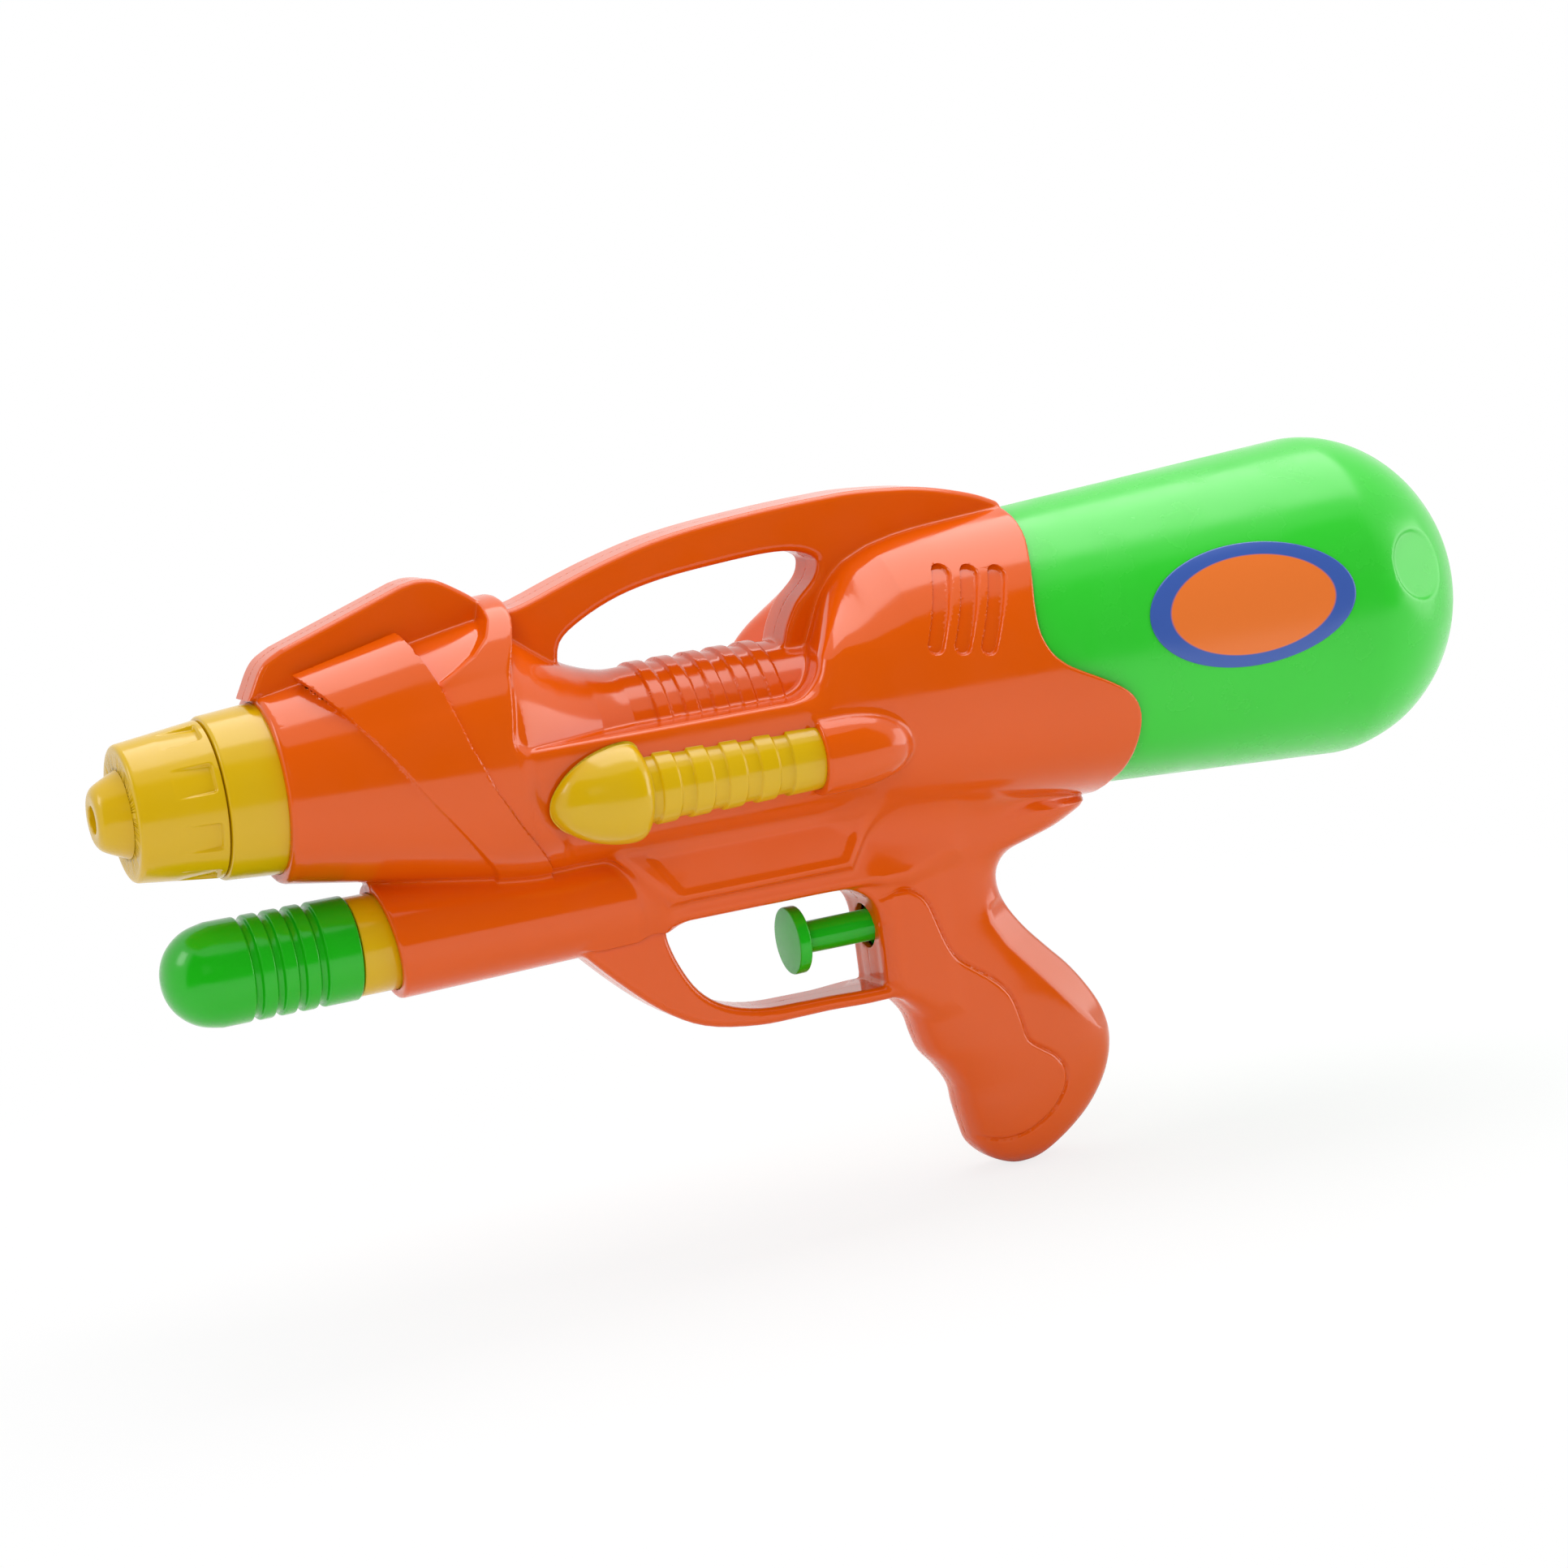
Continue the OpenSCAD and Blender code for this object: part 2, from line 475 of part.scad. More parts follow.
module body() difference() {
    union() {
        difference() {
            union() {
                difference() {
                    union() {
                        belly(0);
                        cheek();
                        band();
                    }
                    scoop(0);
                }
                bar(0);
                turn(concat([[x_ogive - 4, 0]], ogive_path, [[x_lobe + 6, 0]]));
                handle();
                fin();
                block();
                grip();
                grip_front();
            }
            // Hollow inside
            difference() {
                turn(concat([[x_rim + lip, 0]], [for (i = [2 : len(belly_path) - 2])
                    [max(belly_path[i][0], x_rim + lip), belly_path[i][1] - wall]],
                    [[x_lobe + 20, housing_at(x_lobe + 20) - wall], [x_lobe + 20, 0]]));
                scoop(wall);
            }
            bar(wall);
            turn(concat([[x_ogive - 2, 0], [x_ogive - 2, 8]], [for (i = [1 : len(ogive_path) - 2])
                [ogive_path[i][0] + 1.2, ogive_path[i][1] - wall - 0.2]],
                [[x_lobe + 20, housing_at(x_lobe + 20) - wall - 0.2], [x_lobe + 20, 0]]));
            side(concat(handle_core, handle_core_low), handle_w - 2 * wall);
            block_core();
            grip_core();
            trigger_pocket();
            hose_channel();
        }
        shroud();
        shroud_web();
        guard();
        pod(-1);
        pod(1);
        inner_ribs();
    }
    rear_cut();
    rod(x_rim - 10, x_rim + lip + 1, collar_rear_r + seat_gap);
    pump_bore();
    translate([0, 0, trig_z]) rod(x_grip - 6, x_grip + wall + 4, stem_r + 1.8);
    panel();
    fin_dish();
    vents();
    for (s = [-1, 1]) translate([0, s * bolt_y, bolt_z]) rod(x_pod - 1, x_pod + 4, 8.6);
    for (s = [-1, 1]) for (x = [x_bolt + 20, x_bolt + 52])
        across(x, bolt_z, 2.6, s > 0 ? 20 : -45, s > 0 ? 45 : -20);
    for (q = screw_spots) {
        across(q[0], q[1], 1.55, -5.6, 4.2);
        across(q[0], q[1], 3.2, 3.9, 60);
    }
}

module left_shell() color(orange) intersection() {
    body();
    translate([-50, -100, -200]) cube([600, 100, 400]);
}
module right_shell() color(orange) intersection() {
    body();
    translate([-50, 0, -200]) cube([600, 100, 400]);
}

// Screws that draw the halves together, all of one size
module body_screws() color(steel) for (q = screw_spots) translate([q[0], 0, q[1]]) rotate([90, 0,
    0]) difference() {
    union() {
        translate([0, 0, -4.2]) cylinder(h = 9.6, r = 1.5, $fn = 32);
        translate([0, 0, -6.2]) cylinder(h = 2.2, r = 2.9, $fn = 32);
    }
    for (a = [0, 90]) rotate([0, 0, a]) translate([-1.8, -0.4, -7]) cube([3.6, 0.8, 1.8]);
}

// Yellow bolt that dresses each side
bolt_neck = 9.4;
bolt_tail = 8.1;
shaft_ribs = 5;
shaft_rise = 0.75;
module side_bolt(s) color(yellow) {
    difference() {
        translate([0, s * bolt_y, bolt_z]) turn(concat(
            [[x_bolt, 0], [x_bolt + 0.4, 2.4], [x_bolt + 2, 5.2], [x_bolt + 5, 8.3], [x_bolt + 10, 11.2],
             [x_bolt + 16, bolt_r - 0.5], [x_bolt + 21, bolt_r], [x_bolt + 23.5, bolt_r - 0.6],
             [x_bolt + 25, bolt_r - 2], [x_bolt + 26.2, bolt_neck - shaft_rise]],
            [for (i = [0 : shaft_ribs - 1]) let (g = (bolt_len - 29.5) / shaft_ribs,
                x = x_bolt + 28.4 + g * i,
                r = bolt_neck + (bolt_tail - bolt_neck) * i / shaft_ribs)
                for (q = concat([[0, -shaft_rise], [0.3, 0]], i < shaft_ribs - 1
                    ? [[g * 0.56, 0], [g * 0.56 + 0.3, -shaft_rise]] : [])) [x + q[0], r + q[1]]],
            [[x_bolt + bolt_len, bolt_tail], [x_bolt + bolt_len, 0]]));
        belly(seat_gap);
        bolt_slot();
    }
    for (x = [x_bolt + 20, x_bolt + 52]) across(x, bolt_z, 2.5, s > 0 ? 28 : -bolt_y - 4,
        s > 0 ? bolt_y + 4 : -28);
}
module bolt_slot() side([[x_band - 20, 3], [x_band - 0.5, 2.5], [x_band + 14.3, -33],
    [x_band + 19, -40], [x_band - 20, -40]], 90);
module left_side_bolt() side_bolt(-1);
module right_side_bolt() side_bolt(1);

// Nozzle: fixed collar, turning cap, tip and seal
module nozzle_collar() color(yellow) turn([[x_plug + 0.6, duct_r + seat_gap], [x_plug + 0.6,
    spigot_r - 0.5],
    [x_plug + 1.1, spigot_r], [x_plug + 3, spigot_r], [x_plug + 3, 9.1], [x_plug + 5.2, 9.1],
        [x_plug + 5.2, spigot_r],
    [x_collar, spigot_r], [x_collar, collar_front_r - 0.9], [x_collar + 0.3, collar_front_r - 0.25],
    [x_collar + 0.9, collar_front_r], [x_rim, collar_rear_r], [x_rim + lip + 0.1, collar_rear_r],
    [x_rim + lip + 0.1, collar_rear_r + 0.5], [x_rim + lip + 2.6, collar_rear_r + 0.5],
        [x_rim + lip + 2.6, collar_rear_r - 2.4],
    [x_collar + 4, collar_front_r - 2.4], [x_collar + 4, duct_r + 2.4], [x_rim + lip + 2.6, duct_r + 2.4],
    [x_rim + lip + 2.6, duct_r + seat_gap]]);
module nozzle_cap() color(yellow) difference() {
    turn([[x_cap, plug_r + seat_gap], [x_cap, cap_front_r - 1.3], [x_cap + 0.35, cap_front_r - 0.45],
        [x_cap + 1.3, cap_front_r], [x_collar - move_gap, cap_rear_r], [x_collar - move_gap,
            cap_rear_r - 3.9],
        [x_cap + 4, cap_front_r - 3.4], [x_cap + 4, spigot_r + 2.4], [x_collar - move_gap,
            spigot_r + 2.4],
        [x_collar - move_gap, spigot_r + run_gap], [x_plug, spigot_r + run_gap], [x_plug,
            plug_r + seat_gap]]);
    for (i = [0 : flute_count - 1]) rotate([90 + 180 * (1 + 2 * i) / flute_count, 0, 0])
        translate([x_collar - 3.2 - flute_w / 2, 0, cap_front_r + 0.4]) linear_extrude(8) {
            circle(d = flute_w);
            translate([-13.5 + flute_w / 2, -flute_w / 2]) square([13.5 - flute_w / 2, flute_w]);
        }
}
module nozzle_tip() color(yellow) turn([[0, jet_r], [0, tip_r - 2.4], [0.3, tip_r - 1.4], [1,
    tip_r - 0.5],
    [2.2, tip_r + 0.3], [tip_len, tip_base_r], [tip_len, plug_r], [x_plug, plug_r], [x_plug, 4.6],
        [jet_depth + 4.5, 4.6],
    [jet_depth + 4.5, 1.2], [jet_depth, 1.2], [jet_depth, jet_r]]);
module nozzle_seal() color(rubber) translate([x_plug + 4.1, 0, 0]) rotate([0, 90, 0])
    rotate_extrude() translate([10.02, 0]) circle(r = 0.88, $fn = 24);
module outlet_tube() color(white) turn([[x_plug + 0.8, hose_r + seat_gap], [x_plug + 0.8, duct_r],
    [x_rim + 36.5, duct_r],
    [x_rim + 36.5, hose_r + seat_gap]]);

// Delivery hose from the valve to the outlet tube
x_rise = x_ogive + 2;
module delivery_hose() color(clear) hose([[x_rim + 12.5, 0], [x_rise, 0], [x_rise, low_z],
    [x_valve + 2.2, low_z]], 8);

// Pump: handle, rod, piston with its seal, gland, cylinder, valve flap and outlet
groove_pitch = 5.8;
module pump_handle() color(dark_green) translate([0, 0, pump_z]) turn(concat(
    [[x_pump, 0], [x_pump + 0.35, 3.2], [x_pump + 1.4, 6.2], [x_pump + 3.2, 8.9], [x_pump + 5.8, 11.2],
     [x_pump + 9, 12.8], [x_pump + 13.5, pump_r]],
    [for (i = [0 : groove_count - 1]) let (x = x_pump_end + groove_pitch * (i - groove_count - 1))
        for (q = [[0, 0], [0.2, -1.2], [2, -1.2], [2.2, 0]]) [x + q[0], pump_r + q[1]]],
    [[x_pump_end - 0.5, pump_r], [x_pump_end, pump_r - 0.5], [x_pump_end, pump_r - 2.6], [x_pump + 16,
        pump_r - 3.4], [x_pump + 16, rod_r + 2.2],
     [x_pump_end, rod_r + 2.2], [x_pump_end, rod_r + seat_gap], [x_pump + 13, rod_r + seat_gap],
         [x_pump + 13, 0]]));
module pump_rod() color(white) translate([0, 0, pump_z]) rod(x_pump + 13.1, x_piston + 8, rod_r);
module pump_piston() color(dark_green) translate([0, 0, pump_z]) turn([[x_piston, rod_r + seat_gap],
    [x_piston, cyl_bore - 0.8],
    [x_piston + 0.5, cyl_bore - move_gap], [x_piston + 4, cyl_bore - move_gap], [x_piston + 4, 7.4],
        [x_piston + 7.4, 7.4], [x_piston + 7.4, cyl_bore - move_gap],
    [x_piston + 12, cyl_bore - move_gap], [x_piston + 12, 0], [x_piston + 8.1, 0], [x_piston + 8.1,
        rod_r + seat_gap]]);
module piston_seal() color(rubber) translate([0, 0, pump_z]) turn([[x_piston + 4.1, 7.45],
    [x_piston + 4.1, cyl_bore - run_gap],
    [x_piston + 7.3, cyl_bore - run_gap], [x_piston + 7.3, 7.45]]);
module pump_end_cap() color(yellow) translate([0, 0, pump_z]) turn([[x_gland, rod_r + run_gap],
    [x_gland, gland_r - 0.4], [x_gland + 0.4, gland_r], [x_gland + gland_len, gland_r],
    [x_gland + gland_len, cyl_r + seat_gap], [x_gland + 5, cyl_r + seat_gap],
        [x_gland + 5, rod_r + run_gap]]);
module pump_cylinder() color(white) translate([0, 0, pump_z]) difference() {
    turn([[x_cyl, cyl_bore], [x_cyl, cyl_r], [x_cyl_end, cyl_r], [x_cyl_end, 0], [x_cyl_end - 3, 0],
        [x_cyl_end - 3, cyl_bore]]);
    translate([0, hose_y, air_z - pump_z]) rod(x_cyl_end - 5, x_cyl_end + 1, 1.4);
}
module check_valve_disc() color(rubber) translate([0, 0, pump_z]) rod(x_cyl_end + 0.05,
    x_cyl_end + 1.45, 10.8);
module pump_outlet_cap() color(white) translate([0, 0, pump_z]) difference() {
    union() {
        rod(x_cyl_end + 1.5, x_cyl_end + 3.9, cyl_r);
        translate([0, hose_y, air_z - pump_z]) rod(x_cyl_end + 3, x_cyl_end + 13, barb_r);
    }
    translate([0, hose_y, air_z - pump_z]) rod(x_cyl_end + 1, x_cyl_end + 14, 1.1);
}
module air_hose() color(clear) translate([0, hose_y, 0]) hose([[x_cyl_end + 5, air_z], [x_rise + 4,
    air_z], [x_rise + 4, 3],
    [x_wall - 0.4, 3]], 7);

// Tank with its socket, gasket, dip tube and label
function dome(u) = [x_dome + dome_len * sin(90 * u), tank_r * pow(cos(90 * u), 1.03)];
dish_tilt = 20;
dish_rise = 12;
dish_depth = 1.8;
dish_out = norm(dome(atan(tan(dish_tilt) * tank_r / dome_len) / 90) - [x_dome, 0]);
module tank() color(green) difference() {
    turn(concat([[x_neck, 12.2], [x_neck, 13.7], [x_neck + 0.3, 14], [x_shoulder, 14], [x_shoulder + 1,
        20], [x_shoulder + 3.4, 28],
        [x_shoulder + 7, 34.4], [x_tank, tank_front_r]], [for (i = [0 : 11]) dome(i / 12)], [[x_end,
            0], [x_end - 3.2, 0]],
        [for (i = [10 : -1 : 0]) let (q = dome(i / 12)) [q[0] - 3.2 * i / 12,
            q[1] - tank_wall - 2.2 * sin(15 * i)]],
        [[x_tank, tank_front_r - tank_wall], [x_shoulder + 8.2, 33], [x_shoulder + 5, 27],
            [x_shoulder + 3, 19], [x_shoulder + 2, 12.2]]));
    for (i = [0 : dish_count - 1]) rotate([90 - dish_rise + 360 * i / dish_count, 0, 0])
        translate([x_dome, 0, 0]) rotate([0, dish_tilt, 0]) translate([0, 0, dish_out - dish_depth])
            cylinder(h = 6, r1 = dish_r - 0.7, r2 = dish_r + 5.3);
}
module tank_label() color([0.15, 0.3, 0.7]) intersection() {
    turn([[x_tank + 20, tank_at(x_tank + 20) + 0.03], [x_tank + 20, tank_at(x_tank + 20) + 0.35],
        [x_dome - 3, tank_at(x_dome - 3) + 0.35],
        [x_dome - 3, tank_at(x_dome - 3) + 0.03]]);
    translate([x_tank + 63, -30, 6]) rotate([90, 0, 0]) linear_extrude(40)
        polygon([for (k = [0 : 47]) [label_len / 2 * cos(7.5 * k), label_h / 2 * sin(7.5 * k)]]);
}
function tank_at(x) = tank_front_r + (tank_r - tank_front_r) * (x - x_tank) / tank_len;
module tank_gasket() color(rubber) turn([[x_wall + 4.1, 10.6], [x_wall + 4.1, 13.8],
    [x_neck - 0.05, 13.8], [x_neck - 0.05, 10.6]]);
module tank_socket() color(white) difference() {
    union() {
        turn([[x_wall, 0], [x_wall, socket_rim], [x_wall + 4, socket_rim], [x_wall + 4, socket_r],
            [x_shoulder - 1.6, socket_r], [x_shoulder - 1.6, 14 + move_gap],
            [x_wall + 4, 14 + move_gap], [x_wall + 4, 0]]);
        for (s = [-1, 1]) translate([0, s * hose_y, s * 3]) rod(x_wall - 8.6, x_wall + 1, barb_r);
    }
    for (s = [-1, 1]) translate([0, s * hose_y, s * 3]) rod(x_wall - 10, x_wall + 5, 1.1);
}
dip_tilt = 7;
module dip_tube() color(clear) difference() {
    translate([x_wall + 4.02, -hose_y, -3]) rotate([0, 90 + dip_tilt, 0]) translate([0, 0, -1])
        difference() {
            cylinder(h = tank_len + 28, r = 2.4, $fn = 32);
            translate([0, 0, -1]) cylinder(h = tank_len + 30, r = 1.4, $fn = 32);
        }
    translate([x_wall - 6, -20, -20]) cube([10.02, 40, 40]);
}

// Trigger with its spring and the plunger valve it works
module trigger() color(dark_green) translate([0, 0, trig_z]) turn([[x_disc, 0], [x_disc,
    trigger_r - 0.6], [x_disc + 0.6, trigger_r],
    [x_disc + 2.9, trigger_r], [x_disc + 3.5, trigger_r - 0.6], [x_disc + 3.5, stem_r + 1],
        [x_disc + 4.1, stem_r + 0.3],
    [x_disc + 5, stem_r], [x_flange, stem_r], [x_flange, stem_r + 2.4], [x_flange + 2.4, stem_r + 2.4],
        [x_flange + 2.4, 3.2],
    [x_tail, 3.2], [x_tail, 1.6 + seat_gap], [x_flange - 3, 1.6 + seat_gap], [x_flange - 3, 0]]);
module valve_stem() color(steel) translate([0, 0, trig_z]) rod(x_flange - 2.9, x_valve + 6.3, 1.6);
module valve_seal() color(rubber) translate([0, 0, trig_z]) turn([[x_valve + 4.3, 1.6 + seat_gap],
    [x_valve + 4.3, valve_bore - run_gap],
    [x_valve + 6.2, valve_bore - run_gap], [x_valve + 6.2, 1.6 + seat_gap]]);
module valve_body() color(white) difference() {
    union() {
        translate([0, 0, trig_z]) rod(x_valve, x_valve + valve_len, valve_r);
        translate([x_valve + 5, 0, trig_z + 5]) cylinder(h = low_z + 3.2 - trig_z - 5, r = 2.6, $fn = 32);
        translate([x_valve + 12.5, -hose_y, trig_z]) cylinder(h = low_z + 3.2 - trig_z, r = 2.5,
            $fn = 32);
        translate([0, 0, low_z]) rod(x_valve - 5, x_valve + 4, barb_r);
        translate([0, -hose_y, low_z]) rod(x_valve + 2.5, x_valve + 12, barb_r);
    }
    translate([0, 0, trig_z]) rod(x_valve + 4, x_valve + valve_len - valve_end, valve_bore);
    translate([0, 0, trig_z]) rod(x_valve - 1, x_valve + 5, 1.6 + run_gap);
    translate([x_valve + 5, 0, trig_z + 3]) cylinder(h = low_z - trig_z - 2.6, r = 1.2, $fn = 24);
    translate([x_valve + 12.5, -hose_y, trig_z + 1]) cylinder(h = low_z - trig_z - 0.6, r = 1.2,
        $fn = 24);
    translate([0, 0, low_z]) rod(x_valve - 6, x_valve + 5, 1.1);
    translate([0, -hose_y, low_z]) rod(x_valve + 2, x_valve + 12.5, 1.1);
}
module feed_hose() color(clear) translate([0, -hose_y, 0]) hose([[x_wall - 0.4, -3], [x_rise + 8, -3],
    [x_rise + 8, low_z],
    [x_valve + 9.8, low_z]], 7);

// Coil spring between the trigger's flange and the valve
coil_r = 5.2;
wire_r = 0.3;
coils = 5;
coil_gap = (x_valve - x_flange - 2.4 - 0.3) / coils - 2 * wire_r;
echo(least_coil_gap = coil_gap);
module trigger_spring() color(steel) translate([0, 0, trig_z]) {
    n = coils * 8;
    span = x_valve - x_flange - 2.4 - 2 * wire_r - 0.3;
    stack([for (i = [0 : n]) let (a = 45 * i, c = x_flange + 2.4 + wire_r + 0.15 + span * i / n)
        [for (k = [0 : 5]) let (r = coil_r + wire_r * cos(60 * k)) [c + wire_r * sin(60 * k),
            r * cos(a), r * sin(a)]]]);
}

left_shell();
right_shell();
body_screws();
left_side_bolt();
right_side_bolt();
nozzle_collar();
nozzle_cap();
nozzle_tip();
nozzle_seal();
outlet_tube();
delivery_hose();
pump_handle();
pump_rod();
pump_piston();
piston_seal();
pump_end_cap();
pump_cylinder();
check_valve_disc();
pump_outlet_cap();
air_hose();
tank();
tank_label();
tank_gasket();
tank_socket();
dip_tube();
trigger();
valve_stem();
valve_seal();
valve_body();
feed_hose();
trigger_spring();
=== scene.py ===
# %% [markdown]
# A pump-action water squirter.
# The toy is a hollow two-half housing of glossy orange plastic with a yellow twist nozzle, a green pump
# handle under the barrel, a green push trigger and a green screw-on tank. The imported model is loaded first,
# and every new piece is worked out in its frame, in millimetres, and put into the scene in metres.

# %% Load the frame
import itertools
import json
import math

import bmesh
import bpy
import numpy as np
from mathutils import Matrix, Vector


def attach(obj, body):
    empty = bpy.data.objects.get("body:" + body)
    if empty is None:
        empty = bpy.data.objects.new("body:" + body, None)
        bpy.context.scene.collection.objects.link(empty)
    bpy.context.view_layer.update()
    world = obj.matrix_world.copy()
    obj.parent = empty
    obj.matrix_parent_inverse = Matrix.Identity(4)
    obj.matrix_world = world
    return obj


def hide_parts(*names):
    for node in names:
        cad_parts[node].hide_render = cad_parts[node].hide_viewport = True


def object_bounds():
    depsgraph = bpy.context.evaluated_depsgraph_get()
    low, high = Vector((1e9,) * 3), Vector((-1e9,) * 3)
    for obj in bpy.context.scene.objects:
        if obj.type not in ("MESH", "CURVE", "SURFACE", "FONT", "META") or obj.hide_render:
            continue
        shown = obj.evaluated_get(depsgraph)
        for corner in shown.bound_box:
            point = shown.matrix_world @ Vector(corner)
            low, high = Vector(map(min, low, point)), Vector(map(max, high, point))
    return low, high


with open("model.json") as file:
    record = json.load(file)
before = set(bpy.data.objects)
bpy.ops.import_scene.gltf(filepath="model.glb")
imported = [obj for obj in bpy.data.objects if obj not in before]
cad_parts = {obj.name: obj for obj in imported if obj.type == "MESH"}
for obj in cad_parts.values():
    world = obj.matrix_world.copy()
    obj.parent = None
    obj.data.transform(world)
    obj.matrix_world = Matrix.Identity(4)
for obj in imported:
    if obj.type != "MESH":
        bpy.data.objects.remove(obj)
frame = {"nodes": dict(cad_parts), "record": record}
cad_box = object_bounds()
MM = 0.001
print("nodes loaded:", len(frame["nodes"]))

# %% [markdown]
# Camera.
# The photograph looks at the left side, turned a little to the front and from slightly above, with the
# barrel tilted up to the right in the picture. The camera could be moved by hand until it fits. Here it is
# worked out from those three angles, and from the pixel at which the middle of the nozzle's tip stands, so
# that the frame is the photograph's own.

# %% Camera at the photograph's angle
PICTURE = 1932.0
FOCAL_PIXELS = 5200.0
SENSOR = 36.0
TURN, LIFT, SLOPE = (math.radians(a) for a in (21.5, 8.5, 10.95))
PIXELS_PER_MM = 4.57
KNOWN_POINT = np.array([1.5, 0.0, 0.0])
KNOWN_PIXEL = np.array([120.5, 1009.5])


def standing(axes, place):
    """Matrix of an object at a place in metres whose x, y and z axes are the three given directions."""
    rows = np.eye(4)
    rows[:3, :3] = np.stack(axes, 1)
    rows[:3, 3] = place
    return Matrix(rows.tolist())


back = np.array([-math.sin(TURN) * math.cos(LIFT), -math.cos(TURN) * math.cos(LIFT), math.sin(LIFT)])
level = np.cross(-back, [0, 0, 1])
level /= np.linalg.norm(level)
upright = np.cross(level, -back)
roll = SLOPE - math.atan2(upright[0], level[0])
right = math.cos(roll) * level - math.sin(roll) * upright
above = math.sin(roll) * level + math.cos(roll) * upright
offset = (KNOWN_PIXEL - PICTURE / 2) / FOCAL_PIXELS
ray = offset[0] * right - offset[1] * above - back
reach = FOCAL_PIXELS / PIXELS_PER_MM * back[1] / -ray[1]
eye = KNOWN_POINT - reach * ray

camera = bpy.data.objects.new("camera", bpy.data.cameras.new("camera"))
bpy.context.scene.collection.objects.link(camera)
camera.data.sensor_width = SENSOR
camera.data.lens = SENSOR * FOCAL_PIXELS / PICTURE
camera.data.clip_start, camera.data.clip_end = 0.05, 20.0
camera.matrix_world = standing((right, above, back), eye * MM)
bpy.context.scene.camera = camera
print("camera at", np.round(eye), "mm, lens", round(camera.data.lens, 1))

# %% [markdown]
# White room.
# The toy was photographed on white. A white world would also light the toy from everywhere and wash its
# colours out, so the world is white only for what the camera, a reflection or a clear hose sees, and a dim
# grey for the light that falls on the pieces. One helper writes this shader and all the finishes: it adds
# a node, gives it its settings, and sets or links each of its inputs.

# %% White room
def shader_maker(owner):
    """Clears an owner's shader. Gives back a function that adds a node and returns its outputs."""
    owner.use_nodes = True
    tree = owner.node_tree
    tree.nodes.clear()

    def add(kind, inputs, **settings):
        """One node: settings first, then each input, linked where its value is another node's output."""
        made = tree.nodes.new("ShaderNode" + kind)
        for name, value in settings.items():
            setattr(made, name, value)
        for name, value in inputs.items():
            if isinstance(value, bpy.types.NodeSocket):
                tree.links.new(value, made.inputs[name])
            else:
                made.inputs[name].default_value = value
        return made.outputs

    return add


world = bpy.data.worlds.new("white_room")
bpy.context.scene.world = world
add = shader_maker(world)
sight = add("LightPath", {})
seen = add("Math", {0: sight["Is Camera Ray"], 1: sight["Is Glossy Ray"]}, operation="MAXIMUM")
seen = add("Math", {0: seen[0], 1: sight["Is Transmission Ray"]}, operation="MAXIMUM")
ambient = add("Background", {"Color": (0.95, 0.97, 1.0, 1), "Strength": 0.46})
white = add("Background", {"Color": (1, 1, 1, 1), "Strength": 1.0})
room = add("MixShader", {0: seen[0], 1: ambient[0], 2: white[0]})
add("OutputWorld", {0: room[0]})
bpy.context.scene.view_settings.view_transform = "Standard"
print("world:", world.name)

# %% [markdown]
# Table and cloth.
# The glossy sides of the toy show a pale stripe on top, the dark room as a deep stripe in the middle, and
# the white table below. So there is a pale table, which keeps a soft shadow and fades to full white away
# from the toy, and a bent dark cloth on the camera's side, which only reflections can see. A dark world
# could give that stripe as well, but then the background would be dark too.

# %% Table and cloth
FLOOR_Z = cad_box[0].z - 0.0005
TABLE = ((-0.42, -0.66), (0.86, 0.9))
SHADOW_MIDDLE, SHADOW_NEAR, SHADOW_FAR = (0.2, 0.05, FLOOR_Z), 0.22, 0.44
CLOTH_POSTS, CLOTH_REACH, CLOTH_X = 25, 1.0, 0.2


def table_paper():
    """White paper: for the camera, a share of plain glow that rises from 0.8 near the toy to 1 far off."""
    made = bpy.data.materials.new("table_paper")
    add = shader_maker(made)
    away = add("VectorMath", {0: add("TexCoord", {})["Object"], 1: SHADOW_MIDDLE}, operation="DISTANCE")
    fade = add("MapRange", {"Value": away["Value"], "From Min": SHADOW_NEAR, "From Max": SHADOW_FAR,
                            "To Min": 0.8, "To Max": 1.0})
    share = add("Math", {0: add("LightPath", {})["Is Camera Ray"], 1: fade["Result"]}, operation="MULTIPLY")
    lit = add("BsdfDiffuse", {"Color": (0.9, 0.9, 0.9, 1)})
    glow = add("Emission", {"Strength": 1.0})
    both = add("MixShader", {0: share[0], 1: lit[0], 2: glow[0]})
    add("OutputMaterial", {0: both[0]})
    return made


def dark_cloth():
    """Dark studio cloth: a dull near-black."""
    made = bpy.data.materials.new("dark_cloth")
    add = shader_maker(made)
    add("OutputMaterial", {0: add("BsdfDiffuse", {"Color": (0.02, 0.02, 0.02, 1)})[0]})
    return made


def stage_sheet(name, points, faces, material):
    """A bare sheet of the studio from points in metres and faces of any size."""
    mesh = bpy.data.meshes.new(name)
    mesh.from_pydata(points, [], faces)
    mesh.materials.append(material)
    made = bpy.data.objects.new(name, mesh)
    bpy.context.scene.collection.objects.link(made)
    return made


(x0, y0), (x1, y1) = TABLE
table = stage_sheet("table", [(x, y, FLOOR_Z) for x, y in ((x0, y0), (x1, y0), (x1, y1), (x0, y1))],
                    [(0, 1, 2, 3)], table_paper())

